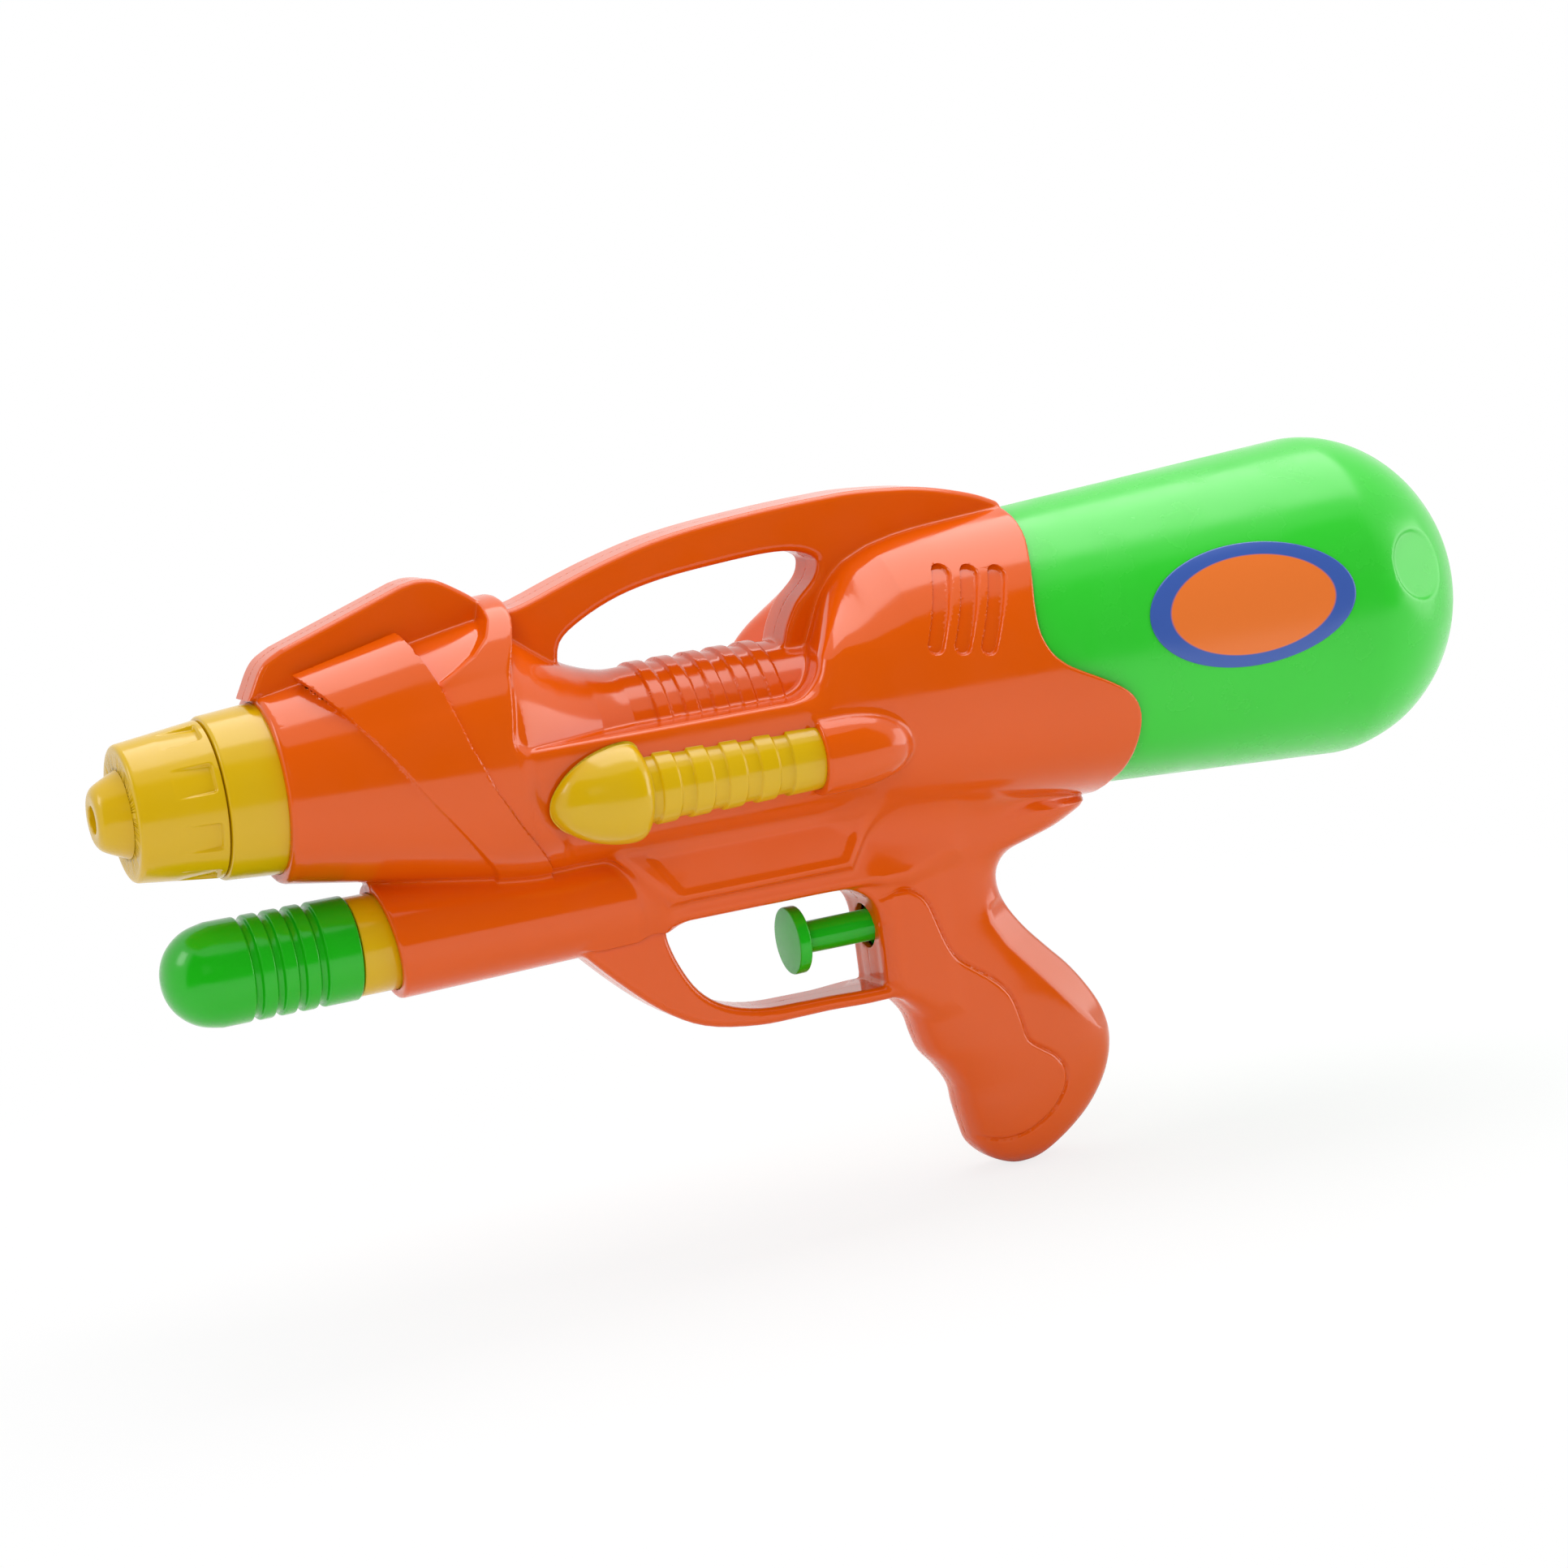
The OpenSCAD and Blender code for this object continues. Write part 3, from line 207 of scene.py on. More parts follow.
bearing = np.radians(np.linspace(-165, -40, CLOTH_POSTS))
hoop = np.stack([CLOTH_X + CLOTH_REACH * np.cos(bearing), CLOTH_REACH * np.sin(bearing)], 1)
cloth = stage_sheet("cloth_wall", [(x, y, z) for z in (-0.42, 1.15) for x, y in hoop],
                    [(i, i + 1, CLOTH_POSTS + i + 1, CLOTH_POSTS + i) for i in range(CLOTH_POSTS - 1)],
                    dark_cloth())
cloth.visible_camera = False
cloth.visible_diffuse = False
cloth.visible_shadow = False
cloth.visible_transmission = False
print("table at", round(FLOOR_Z, 4), "m, cloth of", CLOTH_POSTS, "posts")

# %% [markdown]
# Lamps.
# The broad pale stripe on the tank and the barrel comes from one wide soft light overhead. A lamp to the
# right lights the grip's back and the tank's end, a lamp by the nose lights the front, and a fill that
# reflections can't see lifts the side that faces the camera. Area lamps are used because soft edges of a
# highlight come from the size of the lamp.

# %% Lamps
def soft_lamp(name, place, aim, size, watts):
    """A rectangular lamp at place that points at aim: its z axis is the direction from aim to place."""
    lamp = bpy.data.lights.new(name, "AREA")
    lamp.shape = "RECTANGLE"
    lamp.size, lamp.size_y = size
    lamp.energy = watts
    made = bpy.data.objects.new(name, lamp)
    bpy.context.scene.collection.objects.link(made)
    down = np.array(place, float) - np.array(aim, float)
    down /= np.linalg.norm(down)
    side = np.cross(np.cross([1, 0, 0], down), down)
    side /= np.linalg.norm(side)
    made.matrix_world = standing((side, np.cross(down, side), down), place)
    made.visible_camera = False
    return made


soft_lamp("overhead_lamp", (0.55, 0.27, 1.15), (0.55, 0.27, 0), (1.2, 1.2), 13)
soft_lamp("right_lamp", (1.36, -0.3, 0.1), (0.22, 0, -0.03), (0.7, 0.8), 4.4)
fill = soft_lamp("fill_lamp", (-0.55, -1.25, 0.55), (0.18, 0, -0.02), (0.5, 0.5), 6)
fill.visible_glossy = False
soft_lamp("nose_lamp", (-0.95, 0.15, 0.75), (0.1, 0, -0.02), (0.5, 0.4), 2.5)
print("lamps:", len(bpy.data.lights))

# %% [markdown]
# Finishes.
# Moulded plastic isn't one flat colour. It has a faint cloudiness, patches that are a little less polished,
# and a very fine waviness from the mould that breaks up reflections. One colour and one roughness would
# look like a drawing, so each finish takes its colour, polish and relief from noise on the piece's own
# coordinates, at the scale of the real thing.

# %% Finishes
def noise(add, scale, detail):
    """Noise on the piece's own coordinates, in patches of about one metre divided by scale."""
    place = add("TexCoord", {})["Object"]
    return add("TexNoise", {"Vector": place, "Scale": scale, "Detail": detail})["Fac"]


def shade(colour, share):
    """A colour made darker or lighter by a share, with its alpha."""
    return (*[min(1.0, c * share) for c in colour], 1)


def finish_plastic(name, colour, cloud, polish, ripple):
    """Glossy plastic: colour wanders by `cloud`, roughness runs over `polish`, relief is `ripple` mm."""
    made = bpy.data.materials.new(name)
    add = shader_maker(made)
    tint = add("Mix", {"Factor": noise(add, 28.0, 3.0), "A": shade(colour, 1 - cloud),
                       "B": shade(colour, 1 + cloud)}, data_type="RGBA")
    rough = add("MapRange", {"Value": noise(add, 75.0, 5.0), "From Min": 0.35, "From Max": 0.65,
                             "To Min": polish[0], "To Max": polish[1]})
    relief = add("Bump", {"Height": noise(add, 190.0, 2.0), "Strength": 0.25, "Distance": ripple * MM})
    skin = add("BsdfPrincipled", {"Base Color": tint["Result"], "Roughness": rough["Result"],
                                  "Normal": relief["Normal"], "IOR": 1.5})
    add("OutputMaterial", {0: skin[0]})
    return made


def finish_plain(name, colour, polish, grain, metal=0.0, clear=0.0):
    """Rubber, steel, hose: one noise of `grain` patches a metre gives colour, polish and relief."""
    made = bpy.data.materials.new(name)
    add = shader_maker(made)
    speck = noise(add, grain, 4.0)
    tint = add("Mix", {"Factor": speck, "A": shade(colour, 0.86), "B": shade(colour, 1.1)}, data_type="RGBA")
    rough = add("MapRange", {"Value": speck, "To Min": polish[0], "To Max": polish[1]})
    relief = add("Bump", {"Height": speck, "Strength": 0.3, "Distance": 0.08 * MM})
    skin = add("BsdfPrincipled", {"Base Color": tint["Result"], "Roughness": rough["Result"],
                                  "Normal": relief["Normal"], "Metallic": metal,
                                  "Transmission Weight": clear})
    add("OutputMaterial", {0: skin[0]})
    return made


ORANGE, YELLOW = (0.76, 0.1, 0.001), (0.70, 0.43, 0.001)
TANK_GREEN, LEVER_GREEN = (0.030, 0.62, 0.028), (0.010, 0.46, 0.006)
finishes = {
    "housing_orange": finish_plastic("housing_orange", ORANGE, 0.04, (0.10, 0.17), 0.02),
    "trim_yellow": finish_plastic("trim_yellow", YELLOW, 0.05, (0.14, 0.24), 0.02),
    "tank_green": finish_plastic("tank_green", TANK_GREEN, 0.05, (0.20, 0.30), 0.03),
    "lever_green": finish_plastic("lever_green", LEVER_GREEN, 0.05, (0.14, 0.24), 0.02),
    "inner_white": finish_plain("inner_white", (0.80, 0.80, 0.77), (0.35, 0.5), 120),
    "rubber_black": finish_plain("rubber_black", (0.025, 0.025, 0.026), (0.6, 0.8), 400),
    "hose_clear": finish_plain("hose_clear", (0.72, 0.77, 0.80), (0.15, 0.3), 90, 0.0, 0.6),
    "steel": finish_plain("steel", (0.60, 0.60, 0.62), (0.2, 0.38), 500, 1.0),
}
print("finishes:", len(finishes))

# %% [markdown]
# Surfaces from arrays.
# Most pieces of the toy were turned or moulded round an axis. A profile of (x, radius) corners is rounded,
# then carried round the axis, which gives a grid of points. Blender's Screw modifier could do the same, but
# a grid can also be dented and fluted before it becomes a mesh. One helper closes the grid into faces,
# welds the poles, and gives the piece its finish, its body and the solid that it stands for.

# %% Profiles and grids
def ramp(v):
    """Smooth step from 0 to 1: three times the square less twice the cube."""
    t = np.clip(v, 0, 1)
    return t * t * (3 - 2 * t)


def rounded(corners, steps=4):
    """Line through (x, r, round) corners, each a parabola that starts and ends `round` mm from it."""
    p = np.array([c[:2] for c in corners], float)
    bend = np.array([c[2] if len(c) > 2 else 0.0 for c in corners])
    out = [p[:1]]
    t = np.linspace(0, 1, steps + 1)[:, None]
    for i in range(1, len(p) - 1):
        before, after = p[i - 1] - p[i], p[i + 1] - p[i]
        la, lb = np.linalg.norm(before), np.linalg.norm(after)
        trim = min(bend[i], 0.48 * la, 0.48 * lb)
        if trim < 1e-4:
            out.append(p[i:i + 1])
            continue
        a, b = p[i] + before / la * trim, p[i] + after / lb * trim
        out.append((1 - t) ** 2 * a + 2 * t * (1 - t) * p[i] + t ** 2 * b)
    out.append(p[-1:])
    return np.concatenate(out)


def catmull(points, n):
    """Smooth curve through the points, n steps a span: a cubic that leaves along its neighbours' chord."""
    p = np.asarray(points, float)
    q = np.concatenate([p[:1], p, p[-1:]])
    t = (np.arange(n) / n)[None, :, None]
    a, b, c, d = (q[k:len(p) - 1 + k][:, None, :] for k in range(4))
    span = 0.5 * (2 * b + (c - a) * t + (2 * a - 5 * b + 4 * c - d) * t ** 2
                  + (3 * b - a - 3 * c + d) * t ** 3)
    return np.concatenate([span.reshape(-1, p.shape[1]), p[-1:]])


def carried_round(profile, turns=128, y0=0.0, z0=0.0):
    """Grid of points: the profile's (x, r) at angle t goes to (x, y0 + r sin t, z0 + r cos t)."""
    t = np.linspace(0, 2 * math.pi, turns, endpoint=False)[None, :]
    x, r = profile[:, :1], profile[:, 1:2]
    return np.stack([x + 0 * t, y0 + r * np.sin(t), z0 + r * np.cos(t)], -1)


def grid_faces(rows, columns, loop=False):
    """Four-sided faces of a grid that closes round its columns, and round its rows too for a loop."""
    i = np.arange(rows if loop else rows - 1)[:, None]
    j = np.arange(columns)[None, :]
    k, m = (i + 1) % rows, (j + 1) % columns
    corners = [i * columns + j, i * columns + m, k * columns + m, k * columns + j]
    return np.stack(corners, -1).reshape(-1, 4)


# %% Meshes from grids
def put_mesh(name, points, faces):
    """A mesh object at the origin from points in mm and four-sided faces."""
    mesh = bpy.data.meshes.new(name)
    flat = np.ascontiguousarray(points.reshape(-1, 3) * MM, np.float32)
    mesh.vertices.add(len(flat))
    mesh.vertices.foreach_set("co", flat.ravel())
    mesh.loops.add(faces.size)
    mesh.loops.foreach_set("vertex_index", np.ascontiguousarray(faces, np.int32).ravel())
    mesh.polygons.add(len(faces))
    mesh.polygons.foreach_set("loop_start", np.arange(0, faces.size, 4, dtype=np.int32))
    mesh.update(calc_edges=True)
    made = bpy.data.objects.new(name, mesh)
    bpy.context.scene.collection.objects.link(made)
    return made


WELD_NEAR, EDGE_LEAST = 2e-7, 1e-8


def weld(piece):
    """Merges the poles' doubled points and turns the faces outwards."""
    work = bmesh.new()
    work.from_mesh(piece.data)
    bmesh.ops.remove_doubles(work, verts=work.verts, dist=WELD_NEAR)
    bmesh.ops.dissolve_degenerate(work, edges=work.edges, dist=EDGE_LEAST)
    bmesh.ops.recalc_face_normals(work, faces=work.faces)
    work.to_mesh(piece.data)
    work.free()


def dress(piece, body, finish, *nodes):
    """Smooth shading, finish, body, and the solids that the piece stands for."""
    piece.data.polygons.foreach_set("use_smooth", np.ones(len(piece.data.polygons), bool))
    piece.data.materials.clear()
    piece.data.materials.append(finishes[finish])
    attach(piece, body)
    if nodes:
        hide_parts(*nodes)
    print(piece.name, len(piece.data.polygons), "faces")


def grid_piece(name, grid, body, finish, *nodes, loop=False):
    """A finished piece from a grid of points, closed at its poles or round its own loop of rows."""
    piece = put_mesh(name, grid, grid_faces(*grid.shape[:2], loop))
    weld(piece)
    dress(piece, body, finish, *nodes)
    return piece


def turned_piece(name, corners, body, finish, node, turns=128, z0=0.0, loop=False):
    """A finished piece turned from rounded corners round an axis at height z0."""
    grid_piece(name, carried_round(rounded(corners), turns, 0.0, z0), body, finish, node, loop=loop)


# %% [markdown]
# Nozzle.
# A fixed collar is held in the barrel's mouth, and a cap with a tip turns on it. The cap's eight finger
# flutes have level floors, so on the widening cap they start as nothing and grow deeper towards the back.
# Cutting eight boxes out of a cone would leave hard, uneven edges. Here the flutes are cut into the radius
# of the turned grid, as the smaller of the cap and the flute's floor.

# %% Nozzle tip
TIP, CAP, RIM = 7.8, 30.5, 45.0
JET_MOUTH, JET_DEEP, ORIFICE = 3.6, 5.0, 1.2
turned_piece("spray_tip", [
    (TIP + 7, 0), (TIP + 7, 4.6), (JET_DEEP + 4.5, 4.6), (JET_DEEP + 4.5, ORIFICE), (JET_DEEP, ORIFICE, 0.2),
    (JET_DEEP, JET_MOUTH, 0.3), (0, JET_MOUTH, 0.5), (0, 6.6, 1.2), (1.0, 8.1, 1.0), (2.2, 8.9, 0.8),
    (TIP, 11.6, 0.2), (TIP, 8.0, 0.2), (TIP + 7, 8.0), (TIP + 7, 0)],
    "nozzle", "trim_yellow", "nozzle_tip", 96)

# %% Twist cap
CAP_BACK, CAP_FRONT_R, CAP_BACK_R, CAP_TURNS = CAP - 0.4, 17.8, 20.5, 640
FLUTES, FLUTE_WIDE, FLUTE_LONG, FLUTE_FLOOR = 8, 7.6, 20.0, 19.0
FLUTE_END, FLUTE_CORNER, FLUTE_SOFT = CAP - 2.2, 0.8, 0.7


def cap_grid():
    """Cap radius at (x, t): the cone, or the flute's floor where a soft mask is inside the flute."""
    ends = rounded([(TIP, 8.1), (TIP, CAP_FRONT_R, 1.3), (CAP_BACK, CAP_BACK_R, 0.5),
                    (CAP_BACK, 16.6, 0.4)], 6)
    run = np.linspace(TIP + 1.6, CAP - 1.0, 64)
    cone = np.stack([run, np.interp(run, [TIP, CAP_BACK], [CAP_FRONT_R, CAP_BACK_R])], 1)
    outer = np.concatenate([ends[:8], cone, ends[-7:]])
    inner = np.array([(CAP_BACK, 13.4), (TIP + 4, 13.4), (TIP + 4, 11.2), (TIP, 11.2)])
    x, r = outer[:, :1], outer[:, 1:]
    t = np.linspace(0, 2 * math.pi, CAP_TURNS, endpoint=False)[None, :]
    step = 2 * math.pi / FLUTES
    across = np.abs(r * np.sin((t % step) - step / 2)) - FLUTE_WIDE / 2 + FLUTE_CORNER
    along = np.abs(x - (FLUTE_END - FLUTE_LONG / 2)) - FLUTE_LONG / 2 + FLUTE_CORNER
    inside = np.hypot(np.maximum(across, 0), np.maximum(along, 0)) - FLUTE_CORNER
    inside = inside + np.minimum(np.maximum(across, along), 0)
    radius = r + (np.minimum(FLUTE_FLOOR, r) - r) * ramp(0.5 - inside / FLUTE_SOFT)
    rows = np.stack([x + 0 * t, radius * np.sin(t), radius * np.cos(t)], -1)
    return np.concatenate([rows, carried_round(inner, CAP_TURNS)])


grid_piece("twist_cap", cap_grid(), "nozzle", "trim_yellow", "nozzle_cap", loop=True)

# %% Collar in the barrel's mouth
turned_piece("mouth_collar", [
    (TIP + 8, 5.6), (TIP + 8, 11.0, 0.4), (CAP, 11.0), (CAP, 21.3, 0.9), (RIM, 22.4), (RIM + 6, 22.4),
    (RIM + 6, 20.0), (CAP + 4, 19.0), (CAP + 4, 7.9), (RIM + 6, 7.9), (RIM + 6, 5.6), (TIP + 8, 5.6)],
    "housing", "trim_yellow", "nozzle_collar", 160, loop=True)

# %% [markdown]
# Pump handle.
# A rounded sleeve with four finger grooves slides on a rod below the barrel, and a yellow end cap closes
# the cylinder behind it. They could be cylinders with loops cut into them. A profile carried round the
# pump's own axis gives the round nose and the grooves at once, and each groove is a copy of four corners.

# %% Pump
PUMP_Z, PUMP_FRONT, PUMP_BACK, PUMP_R = -45.0, 11.0, 61.0, 13.8
GROOVES, GROOVE_FIRST, GROOVE_PITCH, GROOVE_DEEP = 4, PUMP_BACK - 29, 5.8, 1.3
GLAND = PUMP_BACK + 0.4
nose = catmull([(PUMP_FRONT, 0), (PUMP_FRONT + 0.35, 3.2), (PUMP_FRONT + 1.4, 6.2), (PUMP_FRONT + 3.2, 8.9),
                (PUMP_FRONT + 5.8, 11.2), (PUMP_FRONT + 9, 12.8), (PUMP_FRONT + 13.5, PUMP_R)], 5)
grooves = [(GROOVE_FIRST + GROOVE_PITCH * i + dx, PUMP_R + dr, 0.5) for i in range(GROOVES)
           for dx, dr in ((0, 0), (0.35, -GROOVE_DEEP), (2.0, -GROOVE_DEEP), (2.35, 0))]
turned_piece("pump_sleeve", [
    *nose.tolist(), *grooves, (PUMP_BACK, PUMP_R, 0.6), (PUMP_BACK, 11.2, 0.3), (PUMP_FRONT + 16, 10.4),
    (PUMP_FRONT + 16, 6.2), (PUMP_BACK, 6.2), (PUMP_BACK, 4.1), (PUMP_FRONT + 13, 4.1), (PUMP_FRONT + 13, 0)],
    "pump", "lever_green", "pump_handle", z0=PUMP_Z)
turned_piece("pump_end_ring", [
    (GLAND, 4.1), (GLAND, 13.1, 0.5), (GLAND + 25, 13.1), (GLAND + 25, 11.6), (GLAND + 5, 11.6),
    (GLAND + 5, 4.1), (GLAND, 4.1)], "housing", "trim_yellow", "pump_end_cap", z0=PUMP_Z, loop=True)

# %% [markdown]
# Trigger.
# The trigger is a thick button disc on a stem that goes into the grip, where a flange holds it and a spring
# pushes it out. A disc and a cylinder joined by hand would meet in a hard line. Turned in one piece, it has
# the small fillet that a moulded button has where the disc meets the stem.

# %% Trigger
TRIGGER_Z, DISC, DISC_THICK, DISC_R, STEM_R = -67.0, 182.5, 3.5, 9.3, 4.4
FLANGE, FLANGE_THICK, FLANGE_R, TAIL_R = 208.2, 2.4, 6.8, 3.2
turned_piece("push_trigger", [
    (DISC, 0), (DISC, DISC_R, 0.7), (DISC + DISC_THICK, DISC_R, 0.7), (DISC + DISC_THICK, STEM_R, 1.1),
    (FLANGE, STEM_R), (FLANGE, FLANGE_R, 0.3), (FLANGE + FLANGE_THICK, FLANGE_R, 0.3),
    (FLANGE + FLANGE_THICK, TAIL_R), (FLANGE + 5.6, TAIL_R), (FLANGE + 5.6, 1.65), (FLANGE - 3, 1.65),
    (FLANGE - 3, 0)], "trigger", "lever_green", "trigger", 96, TRIGGER_Z)

# %% [markdown]
# Tank.
# The blow-moulded tank is a long widening bottle with a domed end and a neck that is held in the housing.
# Four shallow round dishes are pressed into the dome. A Boolean cut would leave a ragged rim on a smooth
# dome, so they are taken off the grid itself: round four directions, points near the direction are pushed
# in to a flat floor, with a soft edge.

# %% Tank
NECK, SHOULDER, TANK, DOME, DOME_LONG = 221.5, 237.5, 249.5, 351.5, 41.0
TANK_FRONT, TANK_WIDE, TANK_WALL, TANK_TURNS = 38.6, 45.0, 1.8, 480
DISHES, DISH_R, DISH_FLOOR, DISH_SOFT = 4, 10.0, 42.6, 1.2
DISH_TILT, DISH_RISE = math.radians(20), math.radians(12)


def side_radius(x):
    """Radius of the tank's straight widening side at x."""
    return TANK_FRONT + (TANK_WIDE - TANK_FRONT) * (x - TANK) / (DOME - TANK)


def dome_at(u):
    """Point (x, r) of the dome at share u of the quarter turn from its rim to its pole."""
    a = np.asarray(u) * math.pi / 2
    return np.stack([DOME + DOME_LONG * np.sin(a), TANK_WIDE * np.maximum(np.cos(a), 0) ** 1.03], -1)


def dished(wall):
    """The wall with its dishes: what stands above a dish's floor is taken off along the dish's direction."""
    for k in range(DISHES):
        a = DISH_RISE + k * math.pi / 2
        aim = np.array([math.sin(DISH_TILT), -math.cos(DISH_TILT) * math.cos(a),
                        math.cos(DISH_TILT) * math.sin(a)])
        arm = wall - np.array([DOME, 0, 0])
        length = arm @ aim
        away = np.linalg.norm(arm - length[..., None] * aim, axis=-1)
        dent = ramp((DISH_R + 0.3 - away) / DISH_SOFT) * (length > 30)
        wall = wall - np.maximum(length[..., None] - DISH_FLOOR, 0) * dent[..., None] * aim
    return wall


def tank_grid():
    """Outer wall from neck to pole with its dishes, then the inner wall back to the neck."""
    run = np.linspace(TANK + 8, DOME - 4, 24)
    outer = np.concatenate([
        rounded([(NECK, 12.2), (NECK, 14, 0.4), (SHOULDER, 14, 1.2), (SHOULDER + 1, 20, 1),
                 (SHOULDER + 3.4, 28, 3), (SHOULDER + 7, 34.4, 3), (TANK, TANK_FRONT, 4),
                 (DOME - 6, TANK_WIDE - 0.376)])[:-1],
        np.stack([run, side_radius(run)], 1),
        dome_at(np.linspace(0, 1, 84))])
    inner = np.concatenate([
        dome_at(np.linspace(1, 0, 24)) - TANK_WALL,
        [(TANK, TANK_FRONT - TANK_WALL), (SHOULDER + 8.2, 33), (SHOULDER + 5, 27), (SHOULDER + 3, 19),
         (SHOULDER + 2, 12.2), (NECK, 12.2)]])
    inner[:, 1] = np.maximum(inner[:, 1], 0)
    return np.concatenate([dished(carried_round(outer, TANK_TURNS)), carried_round(inner, TANK_TURNS)])


grid_piece("water_tank", tank_grid(), "tank", "tank_green", "tank")

# %% [markdown]
# Label.
# An oval sticker lies on the tank's left side, printed with a blue border round an orange field. A flat
# disc would stand off the round tank, so the sticker is a disc of rings whose every point is laid on the
# widening tank, a third of a millimetre thick. Its print is split where an ellipse in x and z ends.

# %% Label
LABEL_X, LABEL_Z, LABEL_LONG, LABEL_HIGH = 313.0, 6.0, 61.0, 33.0
LABEL_LOW, LABEL_TOP, LABEL_RINGS, LABEL_TURNS = 0.03, 0.33, 10, 160
LABEL_ORANGE, LABEL_BLUE = (0.86, 0.19, 0.025, 1), (0.045, 0.11, 0.42, 1)


def label_grid():
    """Rings from the middle out to the oval edge, over it, and back underneath, each laid on the tank."""
    t = np.linspace(0, 2 * math.pi, LABEL_TURNS, endpoint=False)[None, :]
    share = np.concatenate([np.linspace(0, 0.985, LABEL_RINGS), [1.0, 1.0], np.linspace(0.96, 0, 4)])[:, None]
    lift = np.concatenate([np.full(LABEL_RINGS, LABEL_TOP), [LABEL_TOP - 0.05],
                           np.full(5, LABEL_LOW)])[:, None]
    x = LABEL_X + share * (LABEL_LONG / 2 * np.cos(t))
    z = LABEL_Z + share * (LABEL_HIGH / 2 * np.sin(t))
    r = side_radius(x) + lift
    return np.stack([x, -np.sqrt(np.maximum(r * r - z * z, 0)), z], -1)


def finish_label():
    """Printed sticker: the distance from the middle, in half sizes of the oval, picks orange or blue."""
    made = bpy.data.materials.new("label_print")
    add = shader_maker(made)
    centred = add("Mapping", {"Vector": add("TexCoord", {})["Object"],
                              "Location": (LABEL_X * MM, 0, LABEL_Z * MM),
                              "Scale": (LABEL_LONG / 2 * MM, 1000, LABEL_HIGH / 2 * MM)},
                  vector_type="TEXTURE")
    away = add("VectorMath", {0: centred["Vector"]}, operation="LENGTH")
    border = add("MapRange", {"Value": away["Value"], "From Min": 0.79, "From Max": 0.81})
    colour = add("Mix", {"Factor": border["Result"], "A": LABEL_ORANGE, "B": LABEL_BLUE}, data_type="RGBA")
    skin = add("BsdfPrincipled", {"Base Color": colour["Result"], "Roughness": 0.28})
    add("OutputMaterial", {0: skin[0]})
    return made


finishes["label_print"] = finish_label()
label = grid_piece("oval_label", label_grid(), "tank", "label_print")
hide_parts("tank_label")

# %% [markdown]
# Side bolts.
# A yellow dummy bolt dresses each side: an egg-shaped head and a ribbed shaft that ends in a pod of the
# housing. Each is turned on its own axis. Sunk into the housing, half of it would be lost inside, so points
# that would lie in the body are pushed out to its surface along the radius, and the bolt sits on the body
# as the real one does.

# %% Side bolts
BOLT_X, BOLT_Y, BOLT_Z, BOLT_LONG = 110.0, 31.0, -13.5, 76.0
BOLT_NECK, BOLT_NECK_R, BOLT_END_R = 26.0, 10.1, 9.0
RING_FIRST, RING_PITCH, RING_COUNT, RING_HIGH = 28.4, 9.3, 5, 0.75
BELLY_R = 35.4


def bolt_profile():
    """Egg head, then a shaft that narrows to its end, with a soft step up and down at each raised ring."""
    head = catmull([(0, 0), (0.4, 2.4), (2, 5.2), (5, 8.3), (10, 11.2), (16, 13.0), (21, 13.5), (23.6, 12.9),
                    (25.2, 11.2)], 5)
    x = np.linspace(BOLT_NECK, BOLT_LONG, 260)
    base = np.interp(x, [BOLT_NECK, BOLT_LONG], [BOLT_NECK_R, BOLT_END_R])
    wave = ((x - RING_FIRST) / RING_PITCH) % 1.0
    ring = np.where(x < RING_FIRST, -2, 2.6 - RING_PITCH * np.abs(wave - 0.28))
    ring = np.where(x > RING_FIRST + RING_PITCH * (RING_COUNT - 1), 2, ring)
    r = base - RING_HIGH / (1 + np.exp(np.clip(ring, -2, 2) / 0.1))
    return np.concatenate([head, np.stack([x, r], 1), [(BOLT_LONG, 0)]]) + [[BOLT_X, 0]]


def bolt_grid(side):
    """The turned bolt on one side, with points nearer to the barrel's axis than the body moved out to it."""
    points = carried_round(bolt_profile(), 128, side * BOLT_Y, BOLT_Z)
    out = np.hypot(points[..., 1], points[..., 2])
    push = np.maximum(1, (BELLY_R + 0.06) / np.maximum(out, 1e-6))
    return points * np.stack([np.ones_like(push), push, push], -1)


for side, name in ((-1, "left"), (1, "right")):
    grid_piece(name + "_bolt", bolt_grid(side), "housing", "trim_yellow", name + "_side_bolt")

# %% [markdown]
# Housing.
# The two halves of the housing are one moulded form: barrel, sight fin, carry handle, pump shroud, guard
# and grip run into each other with soft fillets, which no single grid can give. So the form is written as a
# field, the distance in mm to the skin, negative inside. Parts are joined with a soft minimum, which makes
# the fillets, and cut with a soft maximum. The skin is then drawn where the field is zero.

# %% Field tools
def join(a, b, k):
    """Soft minimum of two fields: the smaller one, with a fillet about k wide where they meet."""
    h = np.maximum(k - np.abs(a - b), 0) / k
    return np.minimum(a, b) - h * h * k * 0.25


def cut(a, b, k):
    """Soft maximum: what is inside both, with the edge rounded about k wide."""
    return -join(-a, -b, k)


def slab(flat, Y, half, edge):
    """An outline given `half` of thickness to each side, with edges rounded by `edge` mm."""
    a, b = flat + edge, np.abs(Y) - half + edge
    return np.minimum(np.maximum(a, b), 0) + np.hypot(np.maximum(a, 0), np.maximum(b, 0)) - edge


def turned_field(X, away, curve):
    """Distance to a turned form: how far the radius `away` is from the curve's, along the slope."""
    r = np.interp(X, curve[:, 0], curve[:, 1])
    slope = np.interp(X, curve[:, 0], np.gradient(curve[:, 1], curve[:, 0]))
    return (away - r) / np.sqrt(1 + slope * slope)


print("two fields of 1 mm joined with a fillet of 2:", join(1.0, 1.0, 2.0), "mm")

